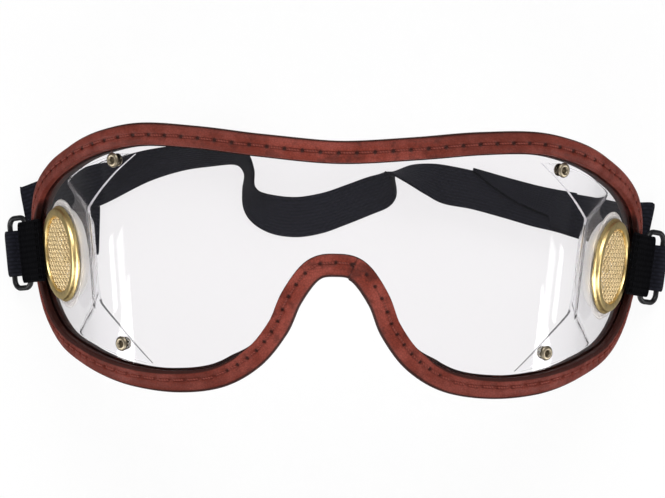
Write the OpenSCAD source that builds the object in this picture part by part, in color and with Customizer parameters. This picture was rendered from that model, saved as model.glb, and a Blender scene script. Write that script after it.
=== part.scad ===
// Skydiving goggles lying on their back, lens up: one wrapped clear shield bound in leather,
// a round brass vent and an inner wind baffle at each side, and an elastic strap on two rings.
// The lens is drawn flat as a pattern (s along the brow, t up) and wrapped on a flared profile.

/* [Lens] */
// thickness of the clear shield
lens_t = 0.8; // [0.7:0.05:1]
// bend radius of the front part of the wrap
front_r = 130; // [126:1:134]
// bend radius of the corners, between the front and the sides
bend_r = 36; // [35:0.5:38]
// bend radius of the sides, nearly flat where the vents sit
side_r = 260; // [240:5:280]
// distance along the pattern where the corner bend starts
bend_start = 48; // [47:0.5:49]
// distance along the pattern where the flat side starts
side_start = 73; // [72.5:0.1:73.2]
// flare of the wrap: its widening per millimetre up, times the front radius
flare = 0.19; // [0.15:0.01:0.21]
// half length of the flat pattern
lens_reach = 109.8; // [107:0.2:111]
// pattern height of the brow edge at the middle
brow_mid = 28.6; // [27:0.2:30]
// pattern height of the brow edge over each eye
brow_high = 32.4; // [31.8:0.1:33.6]
// pattern depth of the lens below each eye
lobe_low = 32.3; // [31:0.1:33.6]
// pattern depth of the lens edge over the nose
nose_top = 2.2; // [1:0.2:3]

/* [Leather binding] */
// thickness of the front leaf
leather_t = 1.6; // [1.2:0.1:2]
// thickness of the padded back leaf
pad_t = 2; // [1.6:0.1:2.4]
// cover of the front leaf over the lens
front_cover = 4; // [3.4:0.1:4.4]
// cover of the back leaf over the lens
back_cover = 4.3; // [4.1:0.1:4.6]
// slack between lens and leather
bind_gap = 0.15; // [0.12:0.01:0.2]
// depth of the fold outside the lens edge
fold_out = 1.5; // [1.3:0.1:1.8]

/* [Vents] */
// distance of the vent centre in from the side edge of the lens
vent_in = 22.1; // [21.6:0.1:22.2]
// height of the vent centre
vent_y = 0.6; // [0:0.2:1]
// outside diameter of the brass flange
vent_d = 24.8; // [24:0.2:25]
// clear opening of the vent
vent_open_d = 20; // [19:0.2:20.4]
// height of the rolled rim above the lens
vent_rim_h = 1.7; // [1.4:0.1:1.8]
// outside diameter of the pale retainer inside
retainer_d = 28.8; // [27:0.2:29]
// wall of the brass barrel
barrel_t = 0.4; // [0.35:0.05:0.5]
// thickness of the mesh disc
screen_t = 0.35; // [0.3:0.05:0.5]
// slack between the vent parts
vent_gap = 0.1; // [0.08:0.01:0.14]

/* [Baffles] */
// thickness of the clear baffle
baffle_t = 0.6; // [0.5:0.05:0.8]
// stand-off of the baffle behind the vent
baffle_lift = 5.4; // [5:0.2:7]
// distance of the eyelets from the vent centre, towards the nose
eyelet_in = 30.6; // [30:0.2:31.2]
// distance of the baffle's nose edge from the vent centre
baffle_in = 17.8; // [17.4:0.1:18.2]
// outside diameter of the eyelet flange
eyelet_d = 3.8; // [3.4:0.1:4]
// diameter of the eyelet barrel
eyelet_barrel_d = 2.2; // [2:0.1:2.4]

/* [Tabs and rings] */
// width of the webbing tab
tab_w = 16.8; // [15:0.2:17]
// height of the middle of the tab
tab_y = 0.8; // [0:0.2:1.2]
// length of the tab's front leaf, from its end to the side edge of the lens
tab_len = 13.2; // [12:0.2:13.6]
// thickness of the tab webbing
web_t = 1; // [0.8:0.1:1.1]
// diameter of the ring wire
ring_wire = 2.2; // [2:0.1:2.4]
// distance between the long bars of the ring
ring_w = 7; // [6.8:0.1:7.4]
// clear length inside the ring
ring_len = 17.4; // [17.2:0.1:18.4]
// height of the held ring bar over the table
hinge_z = 6.6; // [6.4:0.1:7]

/* [Strap] */
// width of the elastic strap
strap_w = 12.7; // [11:0.1:13]
// thickness of the elastic strap
strap_t = 0.9; // [0.8:0.05:1]

/* [Hidden] */
$fn = 48;

// bend of the wrap, in degrees, at pattern distance a from the middle
turn1 = bend_start / front_r * 180 / PI;
turn2 = turn1 + (side_start - bend_start) / bend_r * 180 / PI;
function turn(a) = a <= bend_start ? a / front_r * 180 / PI
  : a <= side_start ? turn1 + (a - bend_start) / bend_r * 180 / PI
  : turn2 + (a - side_start) / side_r * 180 / PI;
// sideways reach and depth of the wrap at pattern distance a: three arcs, end to end
function reach(a) = a <= bend_start ? front_r * sin(turn(a))
  : a <= side_start ? front_r * sin(turn1) + bend_r * (sin(turn(a)) - sin(turn1))
  : front_r * sin(turn1) + bend_r * (sin(turn2) - sin(turn1)) + side_r * (sin(turn(a)) - sin(turn2));
function depth(a) = a <= bend_start ? front_r * (1 - cos(turn(a)))
  : a <= side_start ? front_r * (1 - cos(turn1)) + bend_r * (cos(turn1) - cos(turn(a)))
  : front_r * (1 - cos(turn1)) + bend_r * (cos(turn1) - cos(turn2)) + side_r * (cos(turn2) - cos(turn(a)));

// the folded side edge of the binding, and the ring bar that hangs just outside it
fold_s = lens_reach + fold_out;
vent_s = lens_reach - vent_in;
eyelet_s = vent_s - eyelet_in;
hinge_x = reach(fold_s) + 3.4;
front_z = hinge_z + 2.4 + depth(fold_s);
// slope that brings both side edges level on the table
level = flare / front_r * depth(fold_s);

// a pattern point, lifted h off the middle of the lens, in the finished part
function wrap(s, t, h) = let(a = abs(s), g = s < 0 ? -1 : 1, q = 1 + flare * t / front_r)
  [g * (reach(a) * q + h * sin(turn(a))), t, front_z - depth(a) * q + h * cos(turn(a)) + level * t];

// right half of the lens edge, from the nose round the side to the brow
half_edge = [
  [0, -nose_top], [5, -nose_top - 1.2], [9.8, -9.8], [13.4, -17.6],
  [19.9, -lobe_low * 0.784], [lens_reach * 0.2703, -lobe_low * 0.9486], [lens_reach * 0.383, -lobe_low],
  [lens_reach * 0.4995, -lobe_low * 0.972], [lens_reach * 0.6424, -lobe_low * 0.874],
  [lens_reach * 0.8203, -lobe_low * 0.732], [lens_reach * 0.933, -16.5],
  [lens_reach * 0.988, -7.5], [lens_reach, 1.5], [lens_reach * 0.984, 11],
  [lens_reach * 0.9222, 18.2], [lens_reach * 0.808, brow_high * 0.7305],
  [lens_reach * 0.6671, brow_high * 0.853], [lens_reach * 0.5427, brow_high * 0.952],
  [lens_reach * 0.4413, brow_high], [lens_reach * 0.3142, brow_high * 0.98],
  [18.9, brow_mid + 1.4], [0, brow_mid]];
half_n = len(half_edge);
// the whole closed edge, then a smooth curve through it
function mirror_s(p) = [-p[0], p[1]];
ring_pts = concat(half_edge, [for (i = [half_n - 2 : -1 : 1]) mirror_s(half_edge[i])]);
ring_n = len(ring_pts);
function spline(a, b, c, d, u) = 0.5 * (2 * b + (c - a) * u + (2 * a - 5 * b + 4 * c - d) * u * u
  + (3 * b - a - 3 * c + d) * u * u * u);
edge_steps = 4;
edge = [for (i = [0 : ring_n - 1]) for (k = [0 : edge_steps - 1])
  spline(ring_pts[(i + ring_n - 1) % ring_n], ring_pts[i], ring_pts[(i + 1) % ring_n],
    ring_pts[(i + 2) % ring_n], k / edge_steps)];
edge_n = len(edge);
// outward direction of the edge at station i, and the edge moved outward by d
function outward(i) = let(p = edge[(i + edge_n - 1) % edge_n], q = edge[(i + 1) % edge_n], v = q - p)
  [v[1], -v[0]] / norm(v);
function moved(i, d) = edge[i] + d * outward(i);

// stations of the right half, split at the side: under the eye and along the brow
side_i = 12 * edge_steps;
half_i = (half_n - 1) * edge_steps;
low_run = [for (i = [0 : side_i - 1]) edge[i]];
high_run = [for (i = [half_i : -1 : side_i + 1]) edge[i]];

// stacks sections of equal point count into one closed solid; loop joins the last to the first
module stack(rows, loop = false) {
  m = len(rows[0]);
  n = len(rows);
  pts = [for (r = rows) each r];
  sides = [for (i = [0 : (loop ? n - 1 : n - 2)]) for (j = [0 : m - 1])
    let(a = i * m + j, b = i * m + (j + 1) % m, c = ((i + 1) % n) * m + (j + 1) % m,
      d = ((i + 1) % n) * m + j) each [[a, b, c], [a, c, d]]];
  ends = loop ? [] : [[for (j = [m - 1 : -1 : 0]) j], [for (j = [0 : m - 1]) (n - 1) * m + j]];
  polyhedron(points = pts, faces = concat(sides, ends), convexity = 8);
}

// puts a child on the lens at (s, t), its z axis straight out of the surface
module on_lens(s, t) {
  gx = flare / front_r * reach(s);
  gz = level - flare / front_r * depth(s);
  al = asin(gz / norm([gx, 1, gz]));
  ga = atan(gx);
  de = atan2(sin(turn(s)) * cos(ga), cos(turn(s)) * cos(al) - sin(turn(s)) * sin(al) * sin(ga));
  translate(wrap(s, t, 0)) rotate([0, 0, -ga]) rotate([al, 0, 0]) rotate([0, de, 0]) children();
}

// the local bend of the lens as a round bar, its skin d above the middle of the lens
module lens_bar(d) {
  r = side_r * (1 + flare * vent_y / front_r) + d;
  translate([0, 0, d - r]) rotate([90, 0, 0]) cylinder(r = r, h = 60, center = true, $fn = 240);
}

// the clear shield
lens_cols = [for (i = [1 : len(low_run) - 1]) low_run[i][0]];
function lens_row(s) = let(a = abs(s), lo = lookup(a, low_run), hi = lookup(a, high_run), h = lens_t / 2)
  [wrap(s, lo, -h), wrap(s, hi, -h), wrap(s, hi, h), wrap(s, lo, h)];
module lens() color([0.9, 0.92, 0.95, 0.4]) difference() {
  stack(concat([for (i = [len(lens_cols) - 1 : -1 : 0]) lens_row(-lens_cols[i])], [lens_row(0)],
    [for (s = lens_cols) lens_row(s)]));
  both_sides() {
    on_lens(vent_s, vent_y) cylinder(r = vent_hole_r, h = 8, center = true);
    on_lens(eyelet_s, eyelet_hi) cylinder(d = eyelet_barrel_d + 0.2, h = 4, center = true);
    on_lens(eyelet_s + 1, eyelet_lo) cylinder(d = eyelet_barrel_d + 0.2, h = 4, center = true);
  }
}
module both_sides() {
  children();
  mirror([1, 0, 0]) children();
}

// the leather binding
// one section of the folded strip: n outward from the lens edge, h off the middle of the lens
inner_h = lens_t / 2 + bind_gap;
front_h = inner_h + leather_t;
back_h = inner_h + pad_t;
bind_section = [
  [-front_cover, inner_h], [-front_cover, front_h - 0.5], [-front_cover + 0.5, front_h - 0.08],
  [-front_cover * 0.6, front_h + 0.12], [-0.6, front_h], [fold_out * 0.55, front_h * 0.74],
  [fold_out * 0.93, front_h * 0.3], [fold_out, -0.2], [fold_out * 0.9, -back_h * 0.45],
  [fold_out * 0.45, -back_h * 0.85], [-0.8, -back_h], [-back_cover + 0.6, -back_h],
  [-back_cover, -back_h + 0.6], [-back_cover, -inner_h], [0.25, -inner_h], [0.25, inner_h]];
module leather_binding() color([0.45, 0.2, 0.16]) stack([for (i = [0 : edge_n - 1])
  [for (p = bind_section) let(e = moved(i, p[0])) wrap(e[0], e[1], p[1])]], true);

// the vents
open_r = vent_open_d / 2;
barrel_r = open_r + 0.5 + barrel_t;
vent_hole_r = barrel_r + vent_gap;
flange_r = vent_d / 2;
rim_r = (flange_r + open_r) / 2;
retainer_r = retainer_d / 2;
face_h = lens_t / 2 + vent_gap;
sleeve_end = -face_h - 2.1;
module vent_bezel() color([0.85, 0.68, 0.32]) on_lens(vent_s, vent_y) {
  difference() {
    translate([0, 0, -1.4]) ring_body(barrel_r - 0.05, flange_r, 2);
    lens_bar(face_h);
  }
  // rolled rim, front lip and barrel
  rotate_extrude($fn = 96) {
    translate([open_r, face_h]) square([flange_r - open_r, 0.6]);
    translate([rim_r, face_h + 0.55]) scaled_bead();
    translate([barrel_r - barrel_t, sleeve_end + 0.6]) square([barrel_t, face_h - sleeve_end]);
  }
}
module scaled_bead() intersection() {
  circle(r = vent_rim_h - 0.55);
  translate([-2, -0.1]) square([4, 3]);
}
module ring_body(r0, r1, h) difference() {
  cylinder(r = r1, h = h, $fn = 96);
  translate([0, 0, -1]) cylinder(r = r0, h = h + 2, $fn = 96);
}
module vent_screen() color([0.9, 0.78, 0.5]) on_lens(vent_s, vent_y)
  translate([0, 0, face_h - vent_gap - screen_t])
    cylinder(r = barrel_r - barrel_t - vent_gap, h = screen_t, $fn = 96);
// clamps the mesh and the barrel from inside
module vent_retainer() color([0.88, 0.88, 0.84]) on_lens(vent_s, vent_y) {
  intersection() {
    translate([0, 0, sleeve_end - 0.5]) ring_body(barrel_r + vent_gap, retainer_r, 3);
    lens_bar(-face_h);
  }
  translate([0, 0, sleeve_end - 0.5]) ring_body(open_r - 0.6, retainer_r, 0.8);
  translate([0, 0, sleeve_end - 0.5]) ring_body(open_r - 0.6, barrel_r - barrel_t - vent_gap,
    face_h - 2 * vent_gap - screen_t - sleeve_end + 0.5);
}

// the baffles
function step01(u) = let(v = min(1, max(0, u))) v * v * (3 - 2 * v);
eyelet_hi = brow_high - 7.8;
eyelet_lo = 10.3 - lobe_low;
baffle_s = vent_s - baffle_in;
// the temple edge of the baffle, as pattern distance for each height: close to the back leaf
// where the baffle lies flat on the lens, further in where it stands off behind the vent
leaf_clear = back_cover + 0.35;
function film_inset(t) = leaf_clear + 2.55 * step01((28 - abs(t)) / 8);
temple_s = [for (i = [6 * edge_steps + 2 : 18 * edge_steps - 2])
  let(p = moved(i, -film_inset(edge[i][1]))) [p[1], p[0]]];
function nose_side(t) = t > 16 ? baffle_s - (t - 16) * 1.9 : t < -12 ? baffle_s + (t + 12) * 1.43 : baffle_s;
// stand-off: flush at the eyelets, full behind the vent
function bulge(s, t) = baffle_lift * step01((s - eyelet_s - 4) / 8.4) * step01((29.5 - abs(t)) / 12);
baffle_flush = lens_t / 2 + 0.1 + baffle_t / 2;
t_low = eyelet_lo - 2.2;
t_high = eyelet_hi + 1.7;
// rows of the film lie closer together near its eyelets
rows_b = 30;
cols_b = 14;
function baffle_pt(t, k, side) = let(a = nose_side(t), b = max(a + 2, lookup(t, temple_s)),
  s = a + (b - a) * k / cols_b) wrap(s, t, -baffle_flush - bulge(s, t) + side * baffle_t / 2);
module baffle() color([0.93, 0.93, 0.97, 0.4]) difference() {
  stack([for (j = [0 : rows_b]) let(u = j / rows_b, t = t_low + (t_high - t_low) * (u - sin(360 * u) * 0.1))
    concat([for (k = [0 : cols_b]) baffle_pt(t, k, -1)], [for (k = [cols_b : -1 : 0]) baffle_pt(t, k, 1)])]);
  on_lens(eyelet_s, eyelet_hi) cylinder(d = eyelet_barrel_d + 0.2, h = 6, center = true);
  on_lens(eyelet_s + 1, eyelet_lo) cylinder(d = eyelet_barrel_d + 0.2, h = 6, center = true);
}
// two tubular eyelets, their ends rolled over lens and baffle
module eyelet() rotate_extrude() {
  r0 = eyelet_barrel_d / 2;
  top = lens_t / 2 + 0.12;
  low = -baffle_flush - baffle_t / 2 - 0.3;
  translate([r0 - 0.45, low - 0.45]) square([0.45, top - low + 0.9]);
  translate([r0 - 0.45, top]) square([eyelet_d / 2 - r0 + 0.1, 0.4]);
  translate([eyelet_d / 2 - 0.35, top + 0.2]) circle(r = 0.28, $fn = 16);
  translate([r0 - 0.45, low - 0.45]) square([1, 0.45]);
}
module baffle_eyelets() color([0.6, 0.52, 0.38]) {
  on_lens(eyelet_s, eyelet_hi) eyelet();
  on_lens(eyelet_s + 1, eyelet_lo) eyelet();
}

// the tabs and the rings
side_ga = atan(flare / front_r * reach(fold_s));
ring_drop = hinge_z - strap_t - 0.1 - ring_wire / 2 - 0.02;
ring_tilt = asin(ring_drop / ring_w);
bore_r = ring_wire / 2 + 0.3;
loop_r = bore_r + web_t;
// puts a child at the held ring bar, its y axis along the bar
module at_hinge() translate([hinge_x, tab_y, hinge_z]) rotate([0, 0, -side_ga]) children();
// a pattern point as seen along the ring bar
function seen(s, h) = let(p = wrap(s, tab_y, h)) [(p[0] - hinge_x) * cos(side_ga), p[2] - hinge_z];
tab_s = lens_reach - tab_len;
back_s = lens_reach - 6.6;
leaf_in = front_h + 0.5;
leaf_out = leaf_in + web_t;
back_in = back_h + 0.25;
back_out = back_in + web_t;
// points of a round bend of radius r about c, from a0 to a1 degrees
function bend(c, r, a0, a1, n) = [for (i = [0 : n]) let(a = a0 + (a1 - a0) * i / n)
  c + r * [cos(a), sin(a)]];
tab_outline = concat(
  [seen(tab_s, leaf_in), seen(tab_s, leaf_out)],
  [for (s = [tab_s + 1.1 : 1.1 : fold_s - 1.6]) seen(s, leaf_out)],
  bend([0, 0], loop_r, 55, -125, 18),
  [for (s = [fold_s - 1.4 : -1.5 : back_s + 0.7]) seen(s, -back_out)],
  [seen(back_s, -back_out), seen(back_s, -back_in)]);
tab_hollow = concat(
  [for (s = [tab_s - 2 : 1.1 : fold_s - 2]) seen(s, leaf_in)],
  [seen(fold_s - 0.3, leaf_in * 0.66), seen(fold_s + 0.3, 0), seen(fold_s - 0.4, -back_in * 0.75)],
  [for (s = [fold_s - 2 : -1.5 : tab_s - 2]) seen(s, -back_in)], [seen(tab_s - 2, -back_in)]);
module strap_tab() color([0.05, 0.05, 0.06]) at_hinge()
  rotate([90, 0, 0]) linear_extrude(tab_w, center = true) difference() {
    polygon(tab_outline);
    polygon(tab_hollow);
    circle(r = bore_r);
  }
corner_r = 1.6;
module strap_ring() color([0.04, 0.04, 0.05]) at_hinge() rotate([0, ring_tilt, 0]) {
  half = (ring_len + ring_wire) / 2;
  for (x = [0, ring_w]) translate([x, 0, 0]) rotate([90, 0, 0])
    cylinder(d = ring_wire, h = 2 * (half - corner_r), center = true);
  for (y = [-half, half]) translate([corner_r, y, 0]) rotate([0, 90, 0])
    cylinder(d = ring_wire, h = ring_w - 2 * corner_r);
  for (c = [[ring_w - corner_r, half - corner_r, 0], [corner_r, half - corner_r, 90],
    [corner_r, corner_r - half, 180], [ring_w - corner_r, corner_r - half, 270]])
    translate([c[0], c[1], 0]) rotate([0, 0, c[2]]) rotate_extrude(angle = 90)
      translate([corner_r, 0]) circle(d = ring_wire);
}
// the sewn eye of the strap, drawn round the free bar of the ring
eye_in = ring_wire / 2 + 0.1;
eye_out = eye_in + strap_t;
out_x = ring_w * cos(ring_tilt);
eye_tail = 4.3;
module strap_loop() color([0.1, 0.1, 0.14]) at_hinge() translate([out_x, 0, -ring_drop])
  rotate([90, 0, 0]) linear_extrude(strap_w, center = true) difference() {
    polygon(concat(bend([0, 0], eye_out, -90, 140, 23), [[-3.1, -eye_out + 2 * strap_t],
      [-eye_tail, -eye_out + 2 * strap_t], [-eye_tail, -eye_out]]));
    circle(r = eye_in);
  }

// the strap
// one station: middle of the band in plan, heading of its width, tilt, lift of the low edge
lay = strap_t + 0.1;
skew = 1.04;
function fold_turn(x, y, z, dir, head = 90) = [for (a = [-60 : 30 : 60])
  [x + dir * lay / 2 * (cos(a) - 1), y, head, 0, z + lay / 2 * (1 + sin(a)), skew]];
function turned_back(f) = [for (i = [len(f) - 1 : -1 : 0])
  [f[i][0], f[i][1], f[i][2] + 180, 0, f[i][4], skew]];
strap_start = hinge_x + (out_x - eye_tail - 0.35) * cos(side_ga);
fold_far_l = strap_start + 1.03;
fold_far_r = strap_start + 1.13;
fold_near_l = strap_start - 20;
fold_near_r = strap_start - 11.5;
slant_l = 96;
slant_r = 79;
left_fold = concat([[-strap_start, 0.7, 90 + side_ga, 0, 0, 1], [-fold_near_l - 1.1, 6.9, 90, 0, 0, skew]],
  fold_turn(-fold_near_l, 7.2, 0, 1),
  [[-fold_near_l - 1.1, 7.5, 90, 0, lay, skew], [1.4 - fold_far_l, 13.4, slant_l, 0, lay, skew]],
  fold_turn(-fold_far_l, 13.8, lay, -1, slant_l), [[1.4 - fold_far_l, 14.1, slant_l, 0, 2 * lay, skew]]);
right_fold = concat([[fold_far_r - 1.4, 12.1, slant_r + 180, 0, 2 * lay, skew]],
  turned_back(fold_turn(fold_far_r, 11.8, lay, 1, slant_r)),
  [[fold_far_r - 1.4, 11.3, slant_r + 180, 0, lay, skew], [fold_near_r + 1.1, 6.3, 270, 0, lay, skew]],
  turned_back(fold_turn(fold_near_r, 5.9, 0, -1)),
  [[fold_near_r + 1.1, 5.5, 270, 0, 0, skew], [strap_start, 0.7, 270 - side_ga, 0, 0, 1]]);
// the loose run between the folds, left to right: it stands on edge twice and turns over once
run = [
  [-78, 16.2, 90, 3, 2 * lay], [-65.5, 20.2, 88, 22, 1.2], [-53.6, 25, 86, 46, 0.3],
  [-44, 27.6, 87, 58, 0], [-35.5, 28.4, 86, 62, 0], [-28.6, 27, 66, 70, 0], [-25.2, 23.6, 18, 76, 0],
  [-24.8, 19.4, 14, 72, 0], [-22.4, 15.2, 52, 50, 0], [-17.6, 12.8, 78, 34, 0], [-11, 12.2, 88, 29, 0],
  [-4, 13.5, 89, 28, 0], [2.2, 15.8, 92, 31, 0], [8.6, 18.4, 102, 39, 0], [12.6, 20.4, 114, 50, 0],
  [15.1, 22.8, 140, 70, 0], [17.2, 24.8, 205, 80, 0], [20, 25.2, 250, 70, 0], [23.6, 24.2, 266, 52, 0],
  [28.5, 22.2, 266, 28, 0], [37.6, 20.8, 264, 31, 0], [46.4, 18.6, 258, 32, 0], [55, 16.5, 256, 29, 0],
  [62.5, 15.1, 257, 25, 0.3], [71.4, 13.3, 262, 9, 1.3], [78.5, 12, 267, 2, 2 * lay]];
run_n = len(run);
run_steps = 3;
// a station of the run, spread to the distance between the rings that the run was laid out for
run_span = 85.52;
function at_run(i) = let(v = run[min(run_n - 1, max(0, i))])
  [v[0] * strap_start / run_span, v[1], v[2], v[3], v[4]];
smooth_run = [for (i = [0 : run_n - 2]) for (k = [0 : run_steps - 1])
  let(v = spline(at_run(i - 1), at_run(i), at_run(i + 1), at_run(i + 2), k / run_steps))
  [v[0], v[1], v[2], v[3], v[4], 1]];
band = concat(left_fold, smooth_run, [concat(at_run(run_n - 1), [1])], right_fold);
// half width of the band as a vector, and its middle in space
function half_w(b) = strap_w / 2 * b[5] * [cos(b[2]) * cos(b[3]), sin(b[2]) * cos(b[3]), sin(b[3])];
function mid(b) = [b[0], b[1], b[4] + strap_t / 2 + strap_w / 2 * sin(b[3])];
function unit(v) = v / norm(v);
function band_row(i) = let(w = half_w(band[i]), p = mid(band[i]),
  d = mid(band[min(i + 1, len(band) - 1)]) - mid(band[max(i - 1, 0)]),
  n = unit(cross(d, w)) * strap_t / 2) [p - w - n, p + w - n, p + w + n, p - w + n];
module strap() color([0.12, 0.12, 0.17]) stack([for (i = [0 : len(band) - 1]) band_row(i)]);

module vent_bezel_right() vent_bezel();
module vent_bezel_left() mirror([1, 0, 0]) vent_bezel();
module vent_screen_right() vent_screen();
module vent_screen_left() mirror([1, 0, 0]) vent_screen();
module vent_retainer_right() vent_retainer();
module vent_retainer_left() mirror([1, 0, 0]) vent_retainer();
module baffle_right() baffle();
module baffle_left() mirror([1, 0, 0]) baffle();
module baffle_eyelets_right() baffle_eyelets();
module baffle_eyelets_left() mirror([1, 0, 0]) baffle_eyelets();
module strap_tab_right() strap_tab();
module strap_tab_left() mirror([1, 0, 0]) strap_tab();
module strap_ring_right() strap_ring();
module strap_ring_left() mirror([1, 0, 0]) strap_ring();
module strap_loop_right() strap_loop();
module strap_loop_left() mirror([1, 0, 0]) strap_loop();

lens();
leather_binding();
vent_bezel_left();
vent_bezel_right();
vent_screen_left();
vent_screen_right();
vent_retainer_left();
vent_retainer_right();
baffle_left();
baffle_right();
baffle_eyelets_left();
baffle_eyelets_right();
strap_tab_left();
strap_tab_right();
strap_ring_left();
strap_ring_right();
strap_loop_left();
strap_loop_right();
strap();
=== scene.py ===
"""Skydiving goggles lying lens up on their loose strap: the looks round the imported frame.

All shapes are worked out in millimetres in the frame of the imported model, on arrays, and turned
to metres when they become meshes. A point of the lens is named by (s, t, h): s along the flat
pattern from the middle, t up the pattern, h out of the middle of the lens.
"""

from __future__ import annotations

import logging
from dataclasses import dataclass, field
from enum import Enum
from typing import Any, Sequence

import bmesh
import bpy
import numpy as np
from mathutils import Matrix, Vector

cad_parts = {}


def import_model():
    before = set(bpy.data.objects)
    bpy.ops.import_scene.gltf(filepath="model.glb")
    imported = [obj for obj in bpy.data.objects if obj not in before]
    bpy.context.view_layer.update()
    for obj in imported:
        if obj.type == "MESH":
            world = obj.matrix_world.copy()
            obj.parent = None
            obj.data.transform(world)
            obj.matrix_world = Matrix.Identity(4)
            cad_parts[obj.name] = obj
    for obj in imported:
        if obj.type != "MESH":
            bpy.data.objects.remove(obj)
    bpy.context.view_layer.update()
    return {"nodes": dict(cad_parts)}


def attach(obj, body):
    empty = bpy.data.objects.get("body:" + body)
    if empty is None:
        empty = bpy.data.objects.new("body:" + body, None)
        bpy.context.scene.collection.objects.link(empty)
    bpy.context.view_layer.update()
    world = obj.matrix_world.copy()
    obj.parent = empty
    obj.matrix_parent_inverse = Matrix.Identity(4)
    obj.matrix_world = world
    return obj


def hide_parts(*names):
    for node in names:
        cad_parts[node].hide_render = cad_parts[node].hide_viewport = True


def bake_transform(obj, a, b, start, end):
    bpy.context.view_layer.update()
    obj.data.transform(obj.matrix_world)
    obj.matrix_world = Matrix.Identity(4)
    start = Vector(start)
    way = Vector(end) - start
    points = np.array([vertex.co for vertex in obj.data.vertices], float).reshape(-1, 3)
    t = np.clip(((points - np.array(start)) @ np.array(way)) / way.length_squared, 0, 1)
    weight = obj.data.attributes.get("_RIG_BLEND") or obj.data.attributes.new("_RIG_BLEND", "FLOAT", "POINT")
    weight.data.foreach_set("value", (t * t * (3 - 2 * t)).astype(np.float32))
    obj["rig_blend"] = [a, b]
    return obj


LOG = logging.getLogger("goggles")
MM = 0.001  # metres in a millimetre
MERGE = 2e-6  # points that are nearer than this, in metres, become one
UV_NAME = "cloth"
Array = np.ndarray
Material = bpy.types.Material
Colour = tuple[float, float, float]
Rows = list[list[float]]


class Side(Enum):
    """Left or right, as seen in the camera's view."""

    LEFT = "left"
    RIGHT = "right"

    @property
    def sign(self) -> int:
        """Sign of x on this side."""
        return -1 if self is Side.LEFT else 1


# shader maths
class Channel:
    """A socket or a plain number of a node tree, with Python's operators as Math nodes."""

    def __init__(self, tree: "Tree", value: Any) -> None:
        """Wraps a socket or a number of that tree."""
        self.tree = tree
        self.value = value

    def _math(self, operation: str, *others: Any) -> "Channel":
        """One Math node of self and the others."""
        sockets = dict(enumerate((self, *others)))
        return self.tree.node("ShaderNodeMath", {"operation": operation}, sockets)

    def __add__(self, o: Any) -> "Channel":
        """Sum."""
        return self._math("ADD", o)

    def __sub__(self, o: Any) -> "Channel":
        """Difference."""
        return self._math("SUBTRACT", o)

    def __mul__(self, o: Any) -> "Channel":
        """Product."""
        return self._math("MULTIPLY", o)

    def __rsub__(self, o: Any) -> "Channel":
        """Reflected difference."""
        return Channel(self.tree, o)._math("SUBTRACT", self)

    def __lt__(self, o: Any) -> "Channel":
        """1 where it is less, else 0."""
        return self._math("LESS_THAN", o)

    __radd__ = __add__
    __rmul__ = __mul__

    def sin(self) -> "Channel":
        """Sine."""
        return self._math("SINE")

    def abs(self) -> "Channel":
        """Size without sign."""
        return self._math("ABSOLUTE")

    def max(self, o: Any) -> "Channel":
        """The larger one."""
        return self._math("MAXIMUM", o)

    def other(self, out: Any) -> "Channel":
        """Another output of the same node."""
        return Channel(self.tree, self.value.node.outputs[out])

    def step(self, low: float, high: float) -> "Channel":
        """A smooth step: 3u^2 - 2u^3, u being the share of the way from low to high.

        Args:
            low: where it is 0.
            high: where it is 1. It may be the lower number, and then the step falls.

        Returns:
            The step, level beyond both ends.
        """
        ends = {0: self, 1: min(low, high), 2: max(low, high)}
        made = self.tree.node("ShaderNodeMapRange", {"interpolation_type": "SMOOTHSTEP"}, ends)
        return made if low < high else 1.0 - made


class Tree:
    """A node tree that is built by expressions."""

    def __init__(self, tree: bpy.types.NodeTree) -> None:
        """Takes hold of the tree's nodes and links."""
        self.nodes = tree.nodes
        self.links = tree.links

    def node(self, kind: str, settings: dict[str, Any] | None = None,
             sockets: dict[Any, Any] | None = None, out: Any = 0) -> Channel:
        """Adds one node.

        Args:
            kind: Blender's name of the node type.
            settings: properties that are set first.
            sockets: values or links by socket name or number.
            out: the output that is returned.

        Returns:
            That output as a channel.
        """
        made = self.nodes.new(kind)
        for key, value in (settings or {}).items():
            setattr(made, key, value)
        for key, value in (sockets or {}).items():
            self.put(made.inputs[key], value)
        return Channel(self, made.outputs[out])

    def put(self, socket: Any, value: Any) -> None:
        """Links a channel to a socket, or sets a plain value.

        Args:
            socket: the socket that is fed.
            value: a channel, a number, or a tuple; a colour of three numbers gets alpha 1.
        """
        value = value.value if isinstance(value, Channel) else value
        if isinstance(value, bpy.types.NodeSocket):
            self.links.new(value, socket)
        elif isinstance(value, tuple) and len(value) == 3 and len(socket.default_value) == 4:
            socket.default_value = (*value, 1.0)
        else:
            socket.default_value = value


class Cells(Enum):
    """What a cell pattern measures: the distance to a cell's middle or to its wall."""

    MIDDLE = "F1"
    WALL = "DISTANCE_TO_EDGE"


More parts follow.
